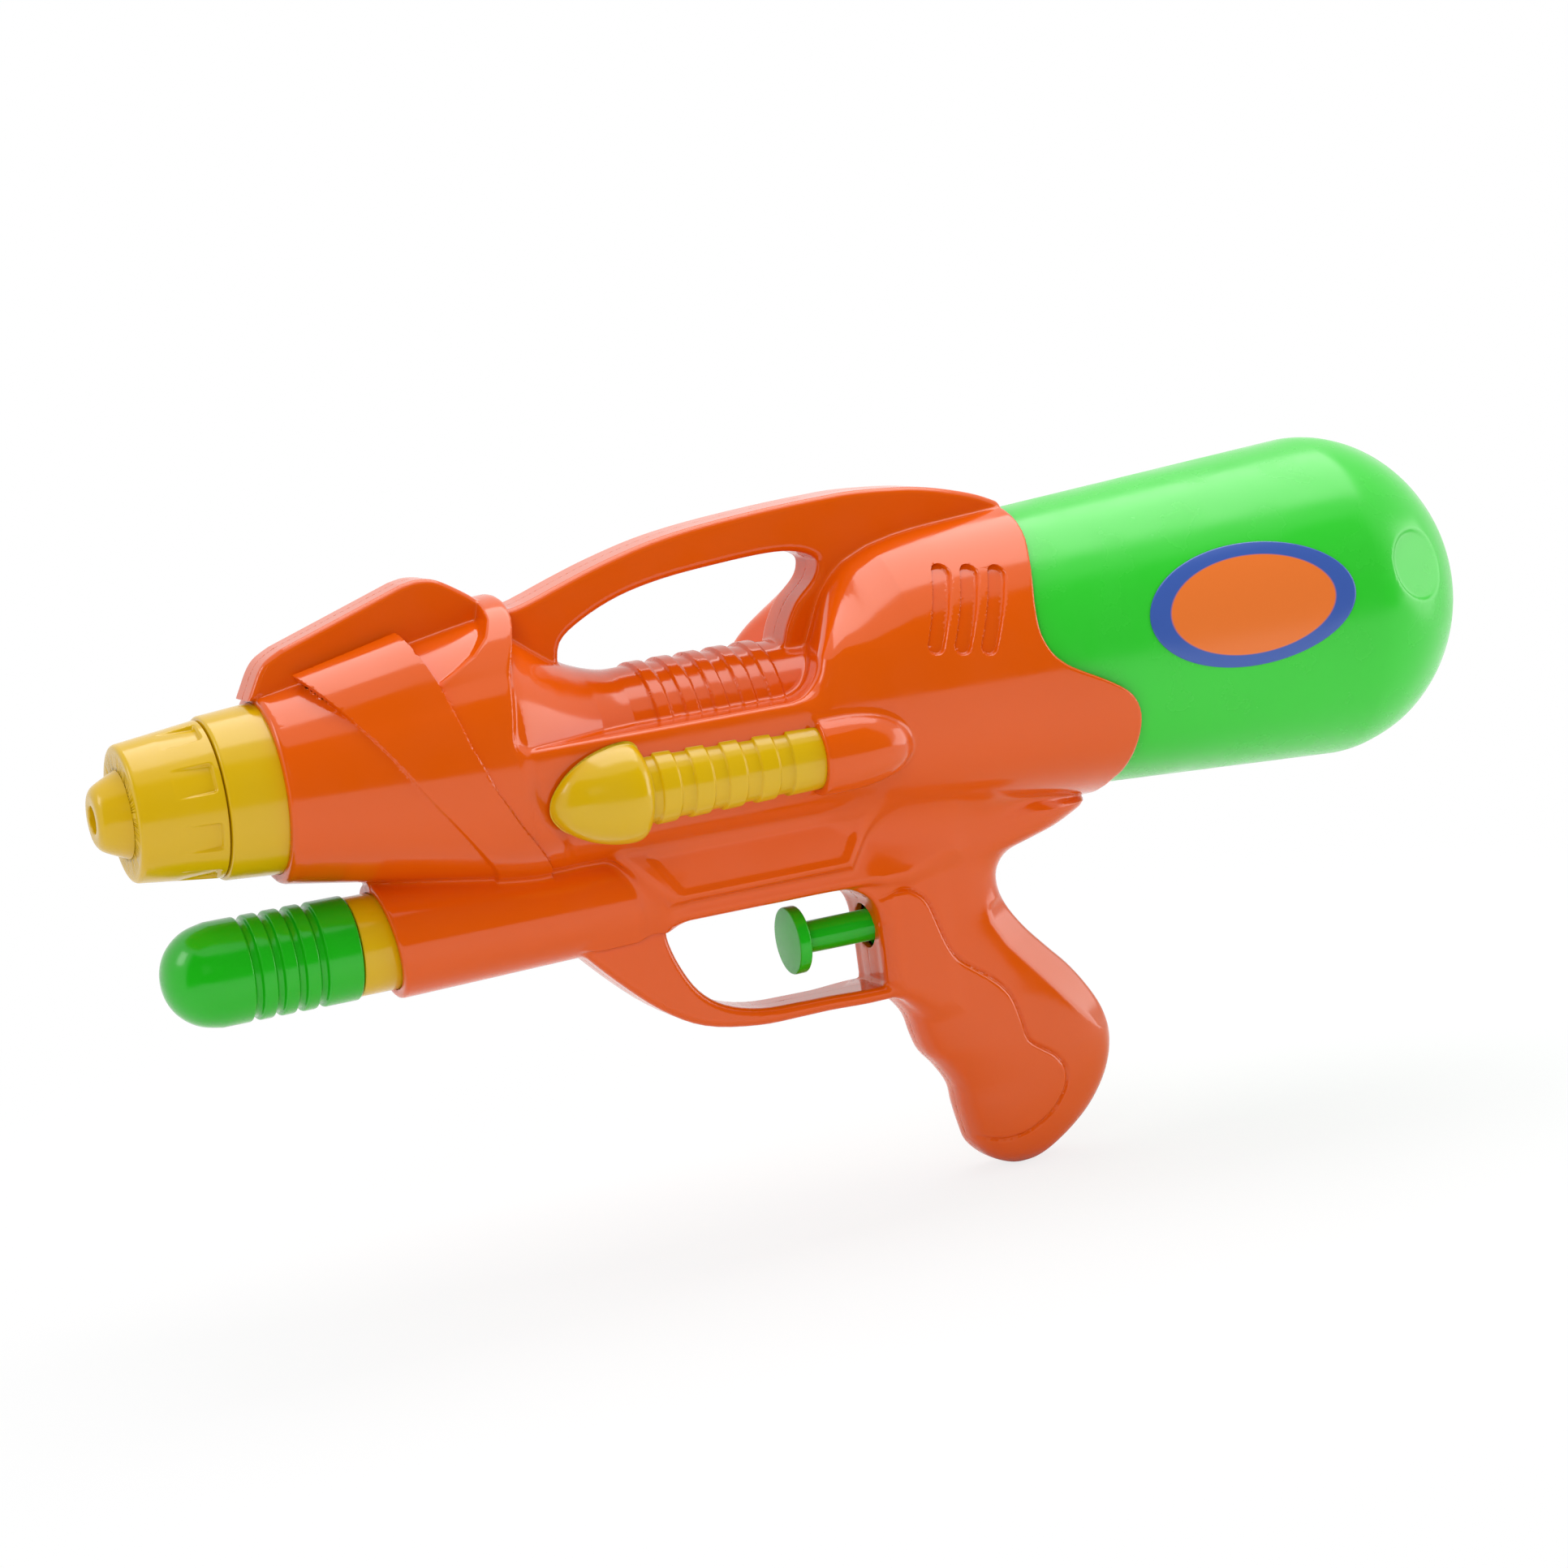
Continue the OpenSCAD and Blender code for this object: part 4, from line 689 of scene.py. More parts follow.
# %% [markdown]
# Outlines.
# Seen from the side, the housing is a set of flat shapes: the diagonal strap, the band, the scoop, the
# handle with its hole, the fin, the block with its panel, the guard, and the edge that wraps the tank. Each
# could be an extruded curve, but a field needs its distance. So every outline is drawn once, with smooth
# curves through a few points, and its distance is kept on a raster that is read between its places.

# %% Outlines of barrel, strap, band and scoop
BAND, OGIVE, GRIP, LOBE = 103.5, 187.5, 206.0, 278.0
BELLY = catmull([(40, 24.1), (RIM + 1.6, 25.2), (75, 29.9), (BAND + 3, 35.2), (125, 35.4), (OGIVE + 5, 36.0),
                 (OGIVE + 22, 37.6), (OGIVE + 44, 40.0), (LOBE + 6, 43.3)], 8)
root_curve = catmull([(BAND - 6, 31), (BAND + 3, 30.5), (BAND + 9, 27), (BAND + 15, 22.4), (BAND + 21, 18.2),
                      (BAND + 28, 14.4), (BAND + 36, 11.8), (BAND + 43, 11.5), (BAND + 50, 11.5)], 8)
ROOT_CURVE = np.concatenate([root_curve, [(OGIVE + 12, 11.5)]])
POD_CURVE = catmull([(-1, 10.9), (4, 11), (9, 11), (14, 10.6), (19, 9.6), (23, 8), (26, 5.6), (28, 3),
                     (29.2, 0)], 8)
strap_front = catmull([(53, 30), (62, 19), (70.6, 7.2), (78.8, -5.2), (88, -17.2), (99.3, -31.2)], 3)
STRAP_BACK = [(113.9, -32), (110.5, -27.7), (102.9, -17.6), (96.7, -7.4), (91.5, 5.8), (87.8, 21.5)]
STRAP = [(53, 42), *strap_front, (103, -42), (119, -42), *STRAP_BACK, (83.5, 35), (82, 42)]
BAND_REAR = [(103, 4), (104.3, 10), (106.5, 20), (110.2, 29), (112.5, 34), (113.5, 38), (113.7, 48)]
BAND_SHAPE = [(107.4, 48), (106.6, 38), (105.6, 34.6), (103, 30.8), (98.5, 27), (93, 24),
              *STRAP_BACK[:1:-1], (107.9, -24), (106, -17), (104.6, -8), (103.4, 0), *BAND_REAR]
SCOOP_BACK = [(191, -25), (191.5, 0), (192.9, 5.5), (194.8, 11.8), (196.8, 16), (199, 21), (201.5, 26),
              (204.5, 31), (208, 35), (213, 38), (220, 41), (226, 75)]
SCOOP = [(113.7, 75), *reversed(BAND_REAR), (102.8, 1), (102.8, -25), *SCOOP_BACK]
STEP_LINE = np.array([(-40, 124), (-24, 113.2), (-17, 107.3), (-10, 104.4), (-3, 103.4), (3, 103.5),
                      (8, 104.1)])
print("barrel curves:", len(BELLY), "and", len(ROOT_CURVE), "points")

# %% Outlines of handle and fin
HANDLE_FRONT, HANDLE_BACK, HANDLE_TOP, HANDLE_THICK = BAND + 4, TANK + 12, 51.2, 13.0
HIGH = HANDLE_TOP / 52.4
HOLE_TOP = HANDLE_TOP - HANDLE_THICK
FIN_HIGH = 47 / 48
handle_upper = catmull([
    (HANDLE_FRONT, 36), (HANDLE_FRONT + 9, 36.6 * HIGH), (HANDLE_FRONT + 24, 41.4 * HIGH),
    (HANDLE_FRONT + 35, 44.8 * HIGH), (HANDLE_FRONT + 49, 48.2 * HIGH), (HANDLE_FRONT + 64, 50.3 * HIGH),
    (HANDLE_FRONT + 84, 51.8 * HIGH), (HANDLE_FRONT + 99, HANDLE_TOP), (HANDLE_BACK - 45, HANDLE_TOP),
    (HANDLE_BACK - 30, 51 * HIGH), (HANDLE_BACK - 20, 48.9 * HIGH), (HANDLE_BACK - 10, 45.7 * HIGH),
    (HANDLE_BACK - 2.5, 41.9 * HIGH), (HANDLE_BACK, 39.6)], 4)
handle_hole = catmull([
    (BAND + 22.5, 17), (BAND + 24, 24.6), (BAND + 31, HOLE_TOP - 8.6), (BAND + 42, HOLE_TOP - 4.2),
    (BAND + 55, HOLE_TOP - 1.6), (BAND + 71, HOLE_TOP - 0.2), (OGIVE + 1, HOLE_TOP + 0.4),
    (OGIVE + 9, HOLE_TOP - 0.4), (OGIVE + 14, HOLE_TOP - 2.6), (OGIVE + 14.7, 33), (OGIVE + 12.9, 29.4),
    (OGIVE + 7.6, 24.6), (OGIVE + 4, 19), (OGIVE + 1.8, 13)], 4)
HANDLE = [*handle_upper, (HANDLE_BACK, 20), (OGIVE + 12, 4), *handle_hole[::-1], (HANDLE_FRONT, 10)]
fin_front = catmull([(RIM - 2.1, 23.4), (RIM - 0.7, 26), (RIM + 1.7, 31 * FIN_HIGH),
                     (RIM + 4.3, 33.8 * FIN_HIGH), (RIM + 8.5, 36 * FIN_HIGH)], 4)
fin_back = catmull([(BAND - 16, 47.4 * FIN_HIGH), (BAND - 11.5, 47), (BAND - 6.5, 47 * FIN_HIGH),
                    (BAND - 0.6, 43.4 * FIN_HIGH), (BAND + 3, 39.8), (BAND + 5, 37.6)], 4)
FIN = [*fin_front, *fin_back, (BAND + 5, 20), (RIM + 5.5, 20), (RIM + 3.5, 23.6)]
print("handle and fin:", len(HANDLE), "and", len(FIN), "points")

# %% Outlines of block, guard, grip and rear edge
BLOCK, BLOCK_Z, GUARD_Z = BAND + 28, -54.0, -87.0
BLOCK_UPPER = [(BLOCK, -20), (BLOCK, -33.5), (BLOCK + 14, -48), (GRIP - 8, -48), (GRIP + 2, -31),
               (GRIP + 2, -20)]
BLOCK_LOWER = [(BLOCK + 6, -30), (BLOCK + 11, -45), (BLOCK + 14.5, BLOCK_Z), (GRIP + 8, BLOCK_Z),
               (GRIP + 22, -48), (GRIP + 22, -30)]
PANEL = [(BLOCK + 9, -34), (BLOCK + 17, -45.4), (GRIP - 10.5, -45.4), (GRIP - 4.5, -34)]
guard_in = catmull([(BAND + 43.4, BLOCK_Z + 1), (BAND + 42.6, -58), (BAND + 45, -66), (BAND + 49.6, -74),
                    (BAND + 56.4, GUARD_Z + 7.8), (BAND + 66.5, GUARD_Z + 4.8), (BAND + 80, GUARD_Z + 4.2),
                    (GRIP + 2, GUARD_Z + 4.2)], 4)
guard_out = catmull([(GRIP + 7, GUARD_Z + 0.5), (BAND + 80, GUARD_Z + 0.1), (BAND + 65, GUARD_Z + 0.3),
                     (BAND + 50, GUARD_Z + 3.2), (BAND + 38.4, GUARD_Z + 9.8), (BAND + 27, GUARD_Z + 20),
                     (BAND + 17, -56.4)], 4)
GUARD = [*guard_in, *guard_out, (BAND + 17, -48), (BAND + 40, -48)]
corner_arc = catmull([(GRIP - 12, BLOCK_Z + 0.5), (GRIP - 6.6, BLOCK_Z - 1), (GRIP - 2.6, BLOCK_Z - 3.8),
                      (GRIP - 0.6, BLOCK_Z - 7.4), (GRIP + 0.2, BLOCK_Z - 11)], 4)
CORNER = [(GRIP + 4, BLOCK_Z + 3), *corner_arc, (GRIP + 4, BLOCK_Z - 11)]
GRIP_FRONT = [(GRIP, BLOCK_Z + 2), (GRIP, GUARD_Z + 5), (GRIP + 3.4, GUARD_Z + 0.6), (GRIP + 13, GUARD_Z - 6),
              (GRIP + 20, GUARD_Z - 6), (GRIP + 20, BLOCK_Z + 2)]
palm_line = catmull([(206.5, -58.5), (212.5, -57), (216.5, -58.5), (219.5, -62), (221.5, -68), (223.5, -74),
                     (226.5, -79), (231.5, -83), (236.5, -87), (240.5, -92), (242.5, -99), (244, -105),
                     (247.5, -108), (251.5, -111), (254, -115), (253.5, -120), (249.5, -125.5), (244.5, -129),
                     (239.5, -131), (233.5, -131.5), (227.5, -130)], 3)
PALM = [*palm_line, (200, -130), (200, -58.5)]
rear_edge = catmull([(TANK + 8, 60), (TANK + 8, 41), (TANK + 7, 34), (TANK + 4.7, 27.9), (TANK + 2.5, 21.4),
                     (TANK + 0.9, 15), (TANK + 0.7, 8.6), (TANK + 2.8, 3.2), (TANK + 6.1, -0.3),
                     (TANK + 10, -2.8), (TANK + 19, -7.6), (TANK + 25, -12), (TANK + 28, -18),
                     (TANK + 28.4, -26), (TANK + 27.2, -34), (TANK + 25, -40), (TANK + 23, -60)], 4)
REAR = [*rear_edge, (LOBE + 60, -60), (LOBE + 60, 60)]
print("guard and rear edge:", len(GUARD), "and", len(REAR), "points")

# %% Distance maps of the outlines
MAP_STEP = 0.4
MAP_X = np.arange(36.0, 296.0, MAP_STEP)
MAP_Z = np.arange(-147.0, 60.0, MAP_STEP)


def outline_map(points):
    """Distance in mm from every (x, z) of the raster to a closed outline, negative inside."""
    p = np.asarray(points, float)
    X, Z = MAP_X[:, None], MAP_Z[None, :]
    near = np.full((len(MAP_X), len(MAP_Z)), 1e9)
    inside = np.zeros(near.shape, bool)
    for a, b in zip(p, np.roll(p, -1, 0)):
        d = b - a
        t = np.clip(((X - a[0]) * d[0] + (Z - a[1]) * d[1]) / max(d @ d, 1e-9), 0, 1)
        near = np.minimum(near, (X - a[0] - t * d[0]) ** 2 + (Z - a[1] - t * d[1]) ** 2)
        rise = d[1] if abs(d[1]) > 1e-9 else 1e-9
        inside ^= ((a[1] > Z) != (b[1] > Z)) & (X < a[0] + (Z - a[1]) * d[0] / rise)
    return np.where(inside, -np.sqrt(near), np.sqrt(near)).astype(np.float32)


def to_outline(name, X, Z):
    """Distance to a named outline at (x, z), straight between the map's four neighbours."""
    m = maps[name]
    u = np.clip((X - MAP_X[0]) / MAP_STEP, 0, m.shape[0] - 1.001)
    v = np.clip((Z - MAP_Z[0]) / MAP_STEP, 0, m.shape[1] - 1.001)
    i, j = u.astype(np.int32), v.astype(np.int32)
    u, v = u - i, v - j
    low = m[i, j] * (1 - u) + m[i + 1, j] * u
    return low * (1 - v) + (m[i, j + 1] * (1 - u) + m[i + 1, j + 1] * u) * v


maps = {name: outline_map(shape) for name, shape in {
    "strap": STRAP, "band": BAND_SHAPE, "scoop": SCOOP, "handle": HANDLE, "fin": FIN, "upper": BLOCK_UPPER,
    "lower": BLOCK_LOWER, "panel": PANEL, "guard": GUARD, "corner": CORNER, "front": GRIP_FRONT,
    "palm": PALM, "rear": REAR}.items()}
print("side outlines:", len(maps))

# %% [markdown]
# Grip.
# The pistol grip has finger waves in front, a flat facet down each side of its back, and a fine line round
# the palm. It could be a loft of curves. As a field it is a stack of rounded sections: at each height a
# table gives where the section starts and ends and how wide it is, and the section itself is a
# superellipse, between an oval and a box. The facets and the line are then cut into that form.

# %% Grip field
GRIP_HALF, GRIP_POWER, GRIP_TOP, GRIP_FOOT = 12.8, 2.78, -34, -141
grip_table = catmull([
    (-34, 4, 52, 1.25), (-38, 2, 58, 1.24), (-42.6, 1.4, 66.6, 1.21), (-44.2, 1.2, 67, 1.19),
    (-45.8, 1, 64.6, 1.17), (-48.5, 0.6, 58.6, 1.13), (-50.5, 0.6, 51.8, 1.09), (-53, 0.4, 43.2, 1.05),
    (-57, 0.4, 39.2, 1.01), (-62, 0.4, 38.4, 0.99), (-68, 0.4, 40.2, 0.98), (-75, 0.4, 44.8, 0.99),
    (-82, 1, 51, 1), (-88, 4.4, 56.6, 1.01), (-94, 8.2, 61, 1.03), (-100, 9.7, 64.5, 1.04),
    (-105, 11.5, 66.3, 1.04), (-110, 15.4, 66.9, 1.03), (-116, 18.8, 65.8, 1.01), (-122, 19.6, 63, 0.99),
    (-128, 20.8, 58.3, 0.95), (-133, 22.2, 52.5, 0.87), (-137, 25.8, 46.3, 0.74), (-139.5, 30, 42, 0.5),
    (-141, 34.5, 38, 0.2)], 4)[::-1]
FACET = np.array([(-115, 280), (-111, 273.5), (-106.3, 267.3), (-98.2, 259.3), (-89.3, 251.5), (-78.3, 242),
                  (-71.1, 238.1), (-64.8, 238), (-58, 241.5), (-55, 247), (-52, 256)])
FACET_MIDDLE, FACET_IN, FACET_EDGE = 6.5, 1.5, 0.4
FRONT_HALF, FRONT_EDGE, FRONT_FILLET = 12.1, 4.0, 3.0
PALM_LINE_DEEP, PALM_LINE_HALF, PALM_HIGH, PALM_EDGE = 0.6, 0.55, 0.4, 0.9


def grip_section(Z):
    """Start, end, half length and half width of the grip's section at each height."""
    start, end, wide = (np.interp(Z, grip_table[:, 0], grip_table[:, k]) for k in (1, 2, 3))
    return start, end, (end - start) / 2, wide * GRIP_HALF


def section_field(X, Y, Z):
    """Distance (f - 1) / |slope of f| with f = (u^n + v^n)^(1/n), u and v the shares of the half sizes."""
    start, end, a, b = grip_section(Z)
    n = GRIP_POWER
    u = np.clip(np.abs(X - GRIP - (start + end) / 2) / a, 1e-3, 8)
    v = np.clip(np.abs(Y) / b, 1e-3, 8)
    f = (u ** n + v ** n) ** (1 / n)
    slope = f ** (1 - n) * np.sqrt((u ** (n - 1) / a) ** 2 + (v ** (n - 1) / b) ** 2)
    return cut(cut((f - 1) / slope, Z - GRIP_TOP, 1.0), GRIP_FOOT - Z, 1.0)


def back_facet(X, Y, Z):
    """Signed distance to the flat chamfers down the grip's back, from the FACET line to near the middle."""
    start, end, a, b = grip_section(Z)
    x_in = np.interp(Z, FACET[:, 0], FACET[:, 1])
    share = np.clip(np.abs(x_in - GRIP - (start + end) / 2) / a, 0, 0.98)
    y_in = b * (1 - share ** GRIP_POWER) ** (1 / GRIP_POWER)
    nx, ny = np.maximum(y_in - FACET_MIDDLE, 1), np.maximum(GRIP + end - FACET_IN - x_in, 1)
    fade = ramp((Z + 68) / 10) + ramp((-106 - Z) / 8)
    return ((X - x_in) * nx + (np.abs(Y) - y_in) * ny) / np.hypot(nx, ny) - 5 * fade


def grip_field(X, Y, Z):
    """Sections with the flat front, less the facets, with a groove on the palm line and a raised palm."""
    front = slab(to_outline("front", X, Z), Y, FRONT_HALF, FRONT_EDGE)
    grip = cut(join(section_field(X, Y, Z), front, FRONT_FILLET), back_facet(X, Y, Z), FACET_EDGE)
    palm, flank = to_outline("palm", X, Z), ramp((np.abs(Y) - 5) / 4)
    line = PALM_LINE_DEEP * np.exp(-(palm / PALM_LINE_HALF) ** 2)
    return grip + flank * (line - PALM_HIGH * ramp(0.5 - palm / PALM_EDGE))


print("half length and half width of the grip at z -100:", np.round(grip_section(-100.0)[2:], 1), "mm")

# %% [markdown]
# Barrel.
# The barrel is a turned belly with a raised strap and band on its front and three leaning vents behind. Its
# top is scooped out over a ledge, and in the scoop lies a ribbed bar that flows out of the band like a
# saddle. Raised and sunk forms are made by adding to the belly's distance inside an outline, which keeps
# their edges parallel to the skin.

# %% Barrel field
STRAP_HIGH, STRAP_TOP, STRAP_REAR, STRAP_EDGE = 0.9, 2.4, 1.2, 0.7
BAND_HIGH, BAND_TOP, FLANK_DEEP, LEDGE_Z = 0.15, 3.9, 1.2, 1.3
VENTS, VENT_LEAN, VENT_HALF, VENT_R, VENT_DEEP = 3, math.radians(24.7), 9.8, 2.15, 1.2
VENT_FIRST, VENT_STEP, VENT_EDGE = (TANK - 24.7, 18.8), (7.2, 1.2), 0.8
RIB_FIRST, RIB_PITCH, RIB_COUNT, RIB_HIGH = 149.5, 8.0, 5, 0.9


def vents(X, Z):
    """Distance to the three leaning vent slots: straight lines with round ends."""
    best = None
    for k in range(VENTS):
        dx = X - (VENT_FIRST[0] + VENT_STEP[0] * k)
        dz = Z - (VENT_FIRST[1] - VENT_STEP[1] * k)
        along = dx * math.sin(VENT_LEAN) + dz * math.cos(VENT_LEAN)
        over = dx * math.cos(VENT_LEAN) - dz * math.sin(VENT_LEAN)
        d = np.hypot(over, np.maximum(np.abs(along) - VENT_HALF, 0)) - VENT_R
        best = d if best is None else np.minimum(best, d)
    return best


def barrel_field(X, Z, R, side):
    """Belly, plus strap and band, less the flank behind the band, the vents and the scoop."""
    belly = turned_field(X, R, BELLY)
    lean = Z / np.maximum(R, 1)
    top = STRAP_TOP + STRAP_REAR * np.clip((X - 55) / 27, 0, 1)
    rise = STRAP_HIGH + top * ramp((lean - 0.45) / 0.5)
    raised = rise * ramp(0.5 - to_outline("strap", X, Z) / STRAP_EDGE) * ramp((side - 8.6) / 0.8 + 0.5)
    crown = BAND_HIGH + BAND_TOP * ramp((lean - 0.55) / 0.45)
    behind = X - np.interp(Z, STEP_LINE[:, 0], STEP_LINE[:, 1])
    sunk = FLANK_DEEP * ramp(behind / 4.5) * (1 - ramp((X - 116) / 20))
    sunk = sunk * ramp((6 - Z) / 4) * ramp((Z + 36) / 8)
    d = join(belly - raised + sunk, cut(belly - crown, to_outline("band", X, Z), 0.8), 0.4)
    d = cut(cut(d, RIM - X, 1.6), X - (LOBE + 5), 1.0)
    slim = np.interp(X, [186, 196, 201.5, 208.5, 216.5, 231], [7, 6, 4.6, 2.4, 0.7, 0.2])
    slim = slim * ramp((X - 180) / 6) * ramp((lean - 0.3) / 0.6)
    d = d + slim + VENT_DEEP * ramp(0.5 - vents(X, Z) / VENT_EDGE) * (side > 12)
    tail = ramp((X - 168) / 12)
    ledge = LEDGE_Z + 0.02 * np.clip(side - 12, 0, 24)
    scoop = to_outline("scoop", X + 0.25 * tail * np.clip(side - 11, 0, 30), Z)
    return cut(d, -cut(scoop, ledge - Z, 6.0 + 2.0 * tail), 2.2 + 3.8 * ramp((X - 180) / 8))


def saddle_field(X, Y, Z):
    """Distance to the smooth bar: at each x an arc over the ledge, wide at the band and narrow behind it."""
    high = np.interp(X, ROOT_CURVE[:, 0], ROOT_CURVE[:, 1]) + 2
    half = np.interp(X, [BAND, BAND + 3, BAND + 15, BAND + 28, BAND + 38], [33.5, 33, 28, 22, 19.4])
    bend = (high * high + half * half) / (2 * high)
    slope = np.interp(X, ROOT_CURVE[:, 0], np.gradient(ROOT_CURVE[:, 1], ROOT_CURVE[:, 0]))
    return (np.sqrt(Y * Y + (Z - 1.5 - high + bend) ** 2) - bend) / np.sqrt(1 + slope * slope)


def bar_field(X, Y, Z):
    """The saddle with its ribs: a soft step up over half of each rib's pitch."""
    middle = np.abs((X - RIB_FIRST + RIB_PITCH / 2) % RIB_PITCH - RIB_PITCH / 2)
    ringed = (X > RIB_FIRST - RIB_PITCH / 2) & (X < RIB_FIRST + RIB_PITCH * (RIB_COUNT - 0.5))
    edge = np.where(ringed, RIB_PITCH / 4 - middle, -3)
    rib = RIB_HIGH / (1 + np.exp(-np.clip(edge, -3, 3) / 0.1)) - 0.3
    return cut(saddle_field(X, Y, Z) - rib, np.maximum(BAND - X, X - OGIVE - 12), 0.5)


print("from z 20 down to the bar at x 150:", round(float(saddle_field(150.0, 0.0, 20.0)), 2), "mm")

# %% [markdown]
# Skin of the whole housing.
# The order follows the mould: barrel and ribbed bar, handle, fin, pods for the bolts, the block with its
# panel, the pump shroud, the guard and the grip. Each is joined to what is there with the fillet that the
# real moulding has at that place, wider where the photograph shows the forms melting together.

# %% Skin field
HANDLE_HALF, FIN_HALF, BLOCK_HALF, LOWER_HALF, GUARD_HALF, CORNER_HALF = 8.75, 7.25, 17.0, 13.0, 7.75, 11.5
HANDLE_EDGE, FIN_EDGE, BLOCK_EDGE, GUARD_EDGE, CORNER_EDGE = 2.0, 1.8, 2.5, 2.0, 1.5
BAR_FILLET, HANDLE_FILLET, FIN_FILLET, POD_FILLET = 1.2, 1.2, 0.8, 1.5
BLOCK_FILLET, SHROUD_FILLET, GUARD_FILLET, GRIP_FILLET = 2.0, 2.0, 1.2, 1.8
POD_X, PANEL_DEEP, PANEL_EDGE = 184.5, 0.55, 2.4
TUBE_FRONT, TUBE_SLANT, TUBE_BACK = 70.2, 0.13, 146.3


def pod_field(X, Z, side):
    """The pod that takes the bolt's end: a blunt turned nose on the bolt's axis, cut off in front."""
    away = np.sqrt((side - BOLT_Y) ** 2 + (Z - BOLT_Z) ** 2)
    return cut(turned_field(X - POD_X, away, POD_CURVE), POD_X - X, 1.2)


def block_field(X, Y, Z, soft):
    """The block over pump and guard: a wide upper slab with a sunk panel, on a narrower lower one."""
    upper = slab(to_outline("upper", X, Z), Y, BLOCK_HALF, BLOCK_EDGE)
    upper = upper + PANEL_DEEP * ramp(0.5 - to_outline("panel", X, Z) / PANEL_EDGE) * (np.abs(Y) > 10)
    lower = slab(to_outline("lower", X, Z), Y, LOWER_HALF + 1.2 * soft, BLOCK_EDGE)
    return join(upper, lower, 2.5)


def shroud_field(X, Y, Z):
    """The tube round the pump, narrowing to the back, with the web that hangs it under the barrel."""
    tube = np.sqrt(Y * Y + (Z - PUMP_Z) ** 2) - np.interp(X, [75, 137, 147], [15.7, 14.3, 11.6])
    tube = cut(cut(tube, TUBE_FRONT + TUBE_SLANT * (PUMP_Z - Z) - X, 1.2), X - TUBE_BACK, 3.0)
    web = np.maximum(np.maximum(np.abs(Y) - 2.5, np.abs(X - 75.1) - 6.5), np.abs(Z + 28) - 6)
    return join(tube, web, 1.0)


def skin_field(X, Y, Z):
    """Distance to the outer skin of the housing before it is made hollow."""
    R, side = np.sqrt(Y * Y + Z * Z), np.abs(Y)
    soft = ramp((X - 188) / 14)
    flank = ramp((side - 7.8) / 2)
    d = join(barrel_field(X, Z, R, side), bar_field(X, Y, Z), BAR_FILLET)
    d = join(d, slab(to_outline("handle", X, Z), Y, HANDLE_HALF, HANDLE_EDGE), HANDLE_FILLET)
    d = join(d, slab(to_outline("fin", X, Z), Y, FIN_HALF, FIN_EDGE), FIN_FILLET)
    d = join(d, pod_field(X, Z, side), POD_FILLET)
    d = join(d, block_field(X, Y, Z, soft), BLOCK_FILLET + 6 * soft)
    d = join(d, shroud_field(X, Y, Z), SHROUD_FILLET + 4.0 * ramp((X - 130) / 12) * flank)
    guard = slab(to_outline("guard", X, Z), Y, GUARD_HALF + 2.5 * soft, GUARD_EDGE)
    guard = join(guard, slab(to_outline("corner", X, Z), Y, CORNER_HALF, CORNER_EDGE), CORNER_EDGE)
    fold = ramp((X - 116) / 12) * (1 - ramp((X - 156) / 12)) * flank
    d = join(d, guard, GUARD_FILLET + 4.8 * fold)
    melt = 5.5 * (1 - ramp((X - 236) / 18)) * ramp((Z + 60) / 8)
    return join(d, grip_field(X, Y, Z), GRIP_FILLET + melt)


across = np.linspace(-60.0, 0.0, 6001)
within = skin_field(60.0 + 0 * across, across, 0 * across) < 0
print("half width of the skin at x 60:", round(-across[within].min(), 1), "mm")

# %% [markdown]
# Hollow housing.
# A moulded shell is about 2 mm thick, with posts for the screws and a wall that holds the tank's socket. So
# only the outer 2 mm of the field is kept, and more behind the vents and the strap's step, where the
# skin turns sharply. Posts and wall are put back, and the openings for collar, pump, trigger, tank, bolts
# and screw heads are cut. A Solidify modifier could give the wall, but not the openings in it.

# %% Housing field
WALL, VENT_BACKING, STRAP_BACKING, SEAM = 2.0, 1.2, 5.0, 0.03
SCREWS = [(BAND - 12, 38.5), (RIM + 32.5, -20.5), (BAND + 14, 30), (TANK - 12, 45.5), (BAND + 34, -64),
          (TANK + 4, -47), (GRIP + 44, -114)]
POST_R, HEAD_R, HEAD_FLOOR = 4.4, 3.2, 3.9
SOCKET_X, SOCKET_HALF, SOCKET_R, SOCKET_FOOT = 217.5, 4.4, 20.6, -44
MOUTH_R, PUMP_MOUTH_R, PUMP_MOUTH_END, PUMP_BORE_R, PUMP_BORE_END = 22.5, 13.25, 86.7, 11.7, 145.1
STEM_HOLE_R, STEM_HOLE_HALF, SEAT_X, SEAT_R, SEAT_HALF = 6.2, 6, 185, 9.1, 3.2


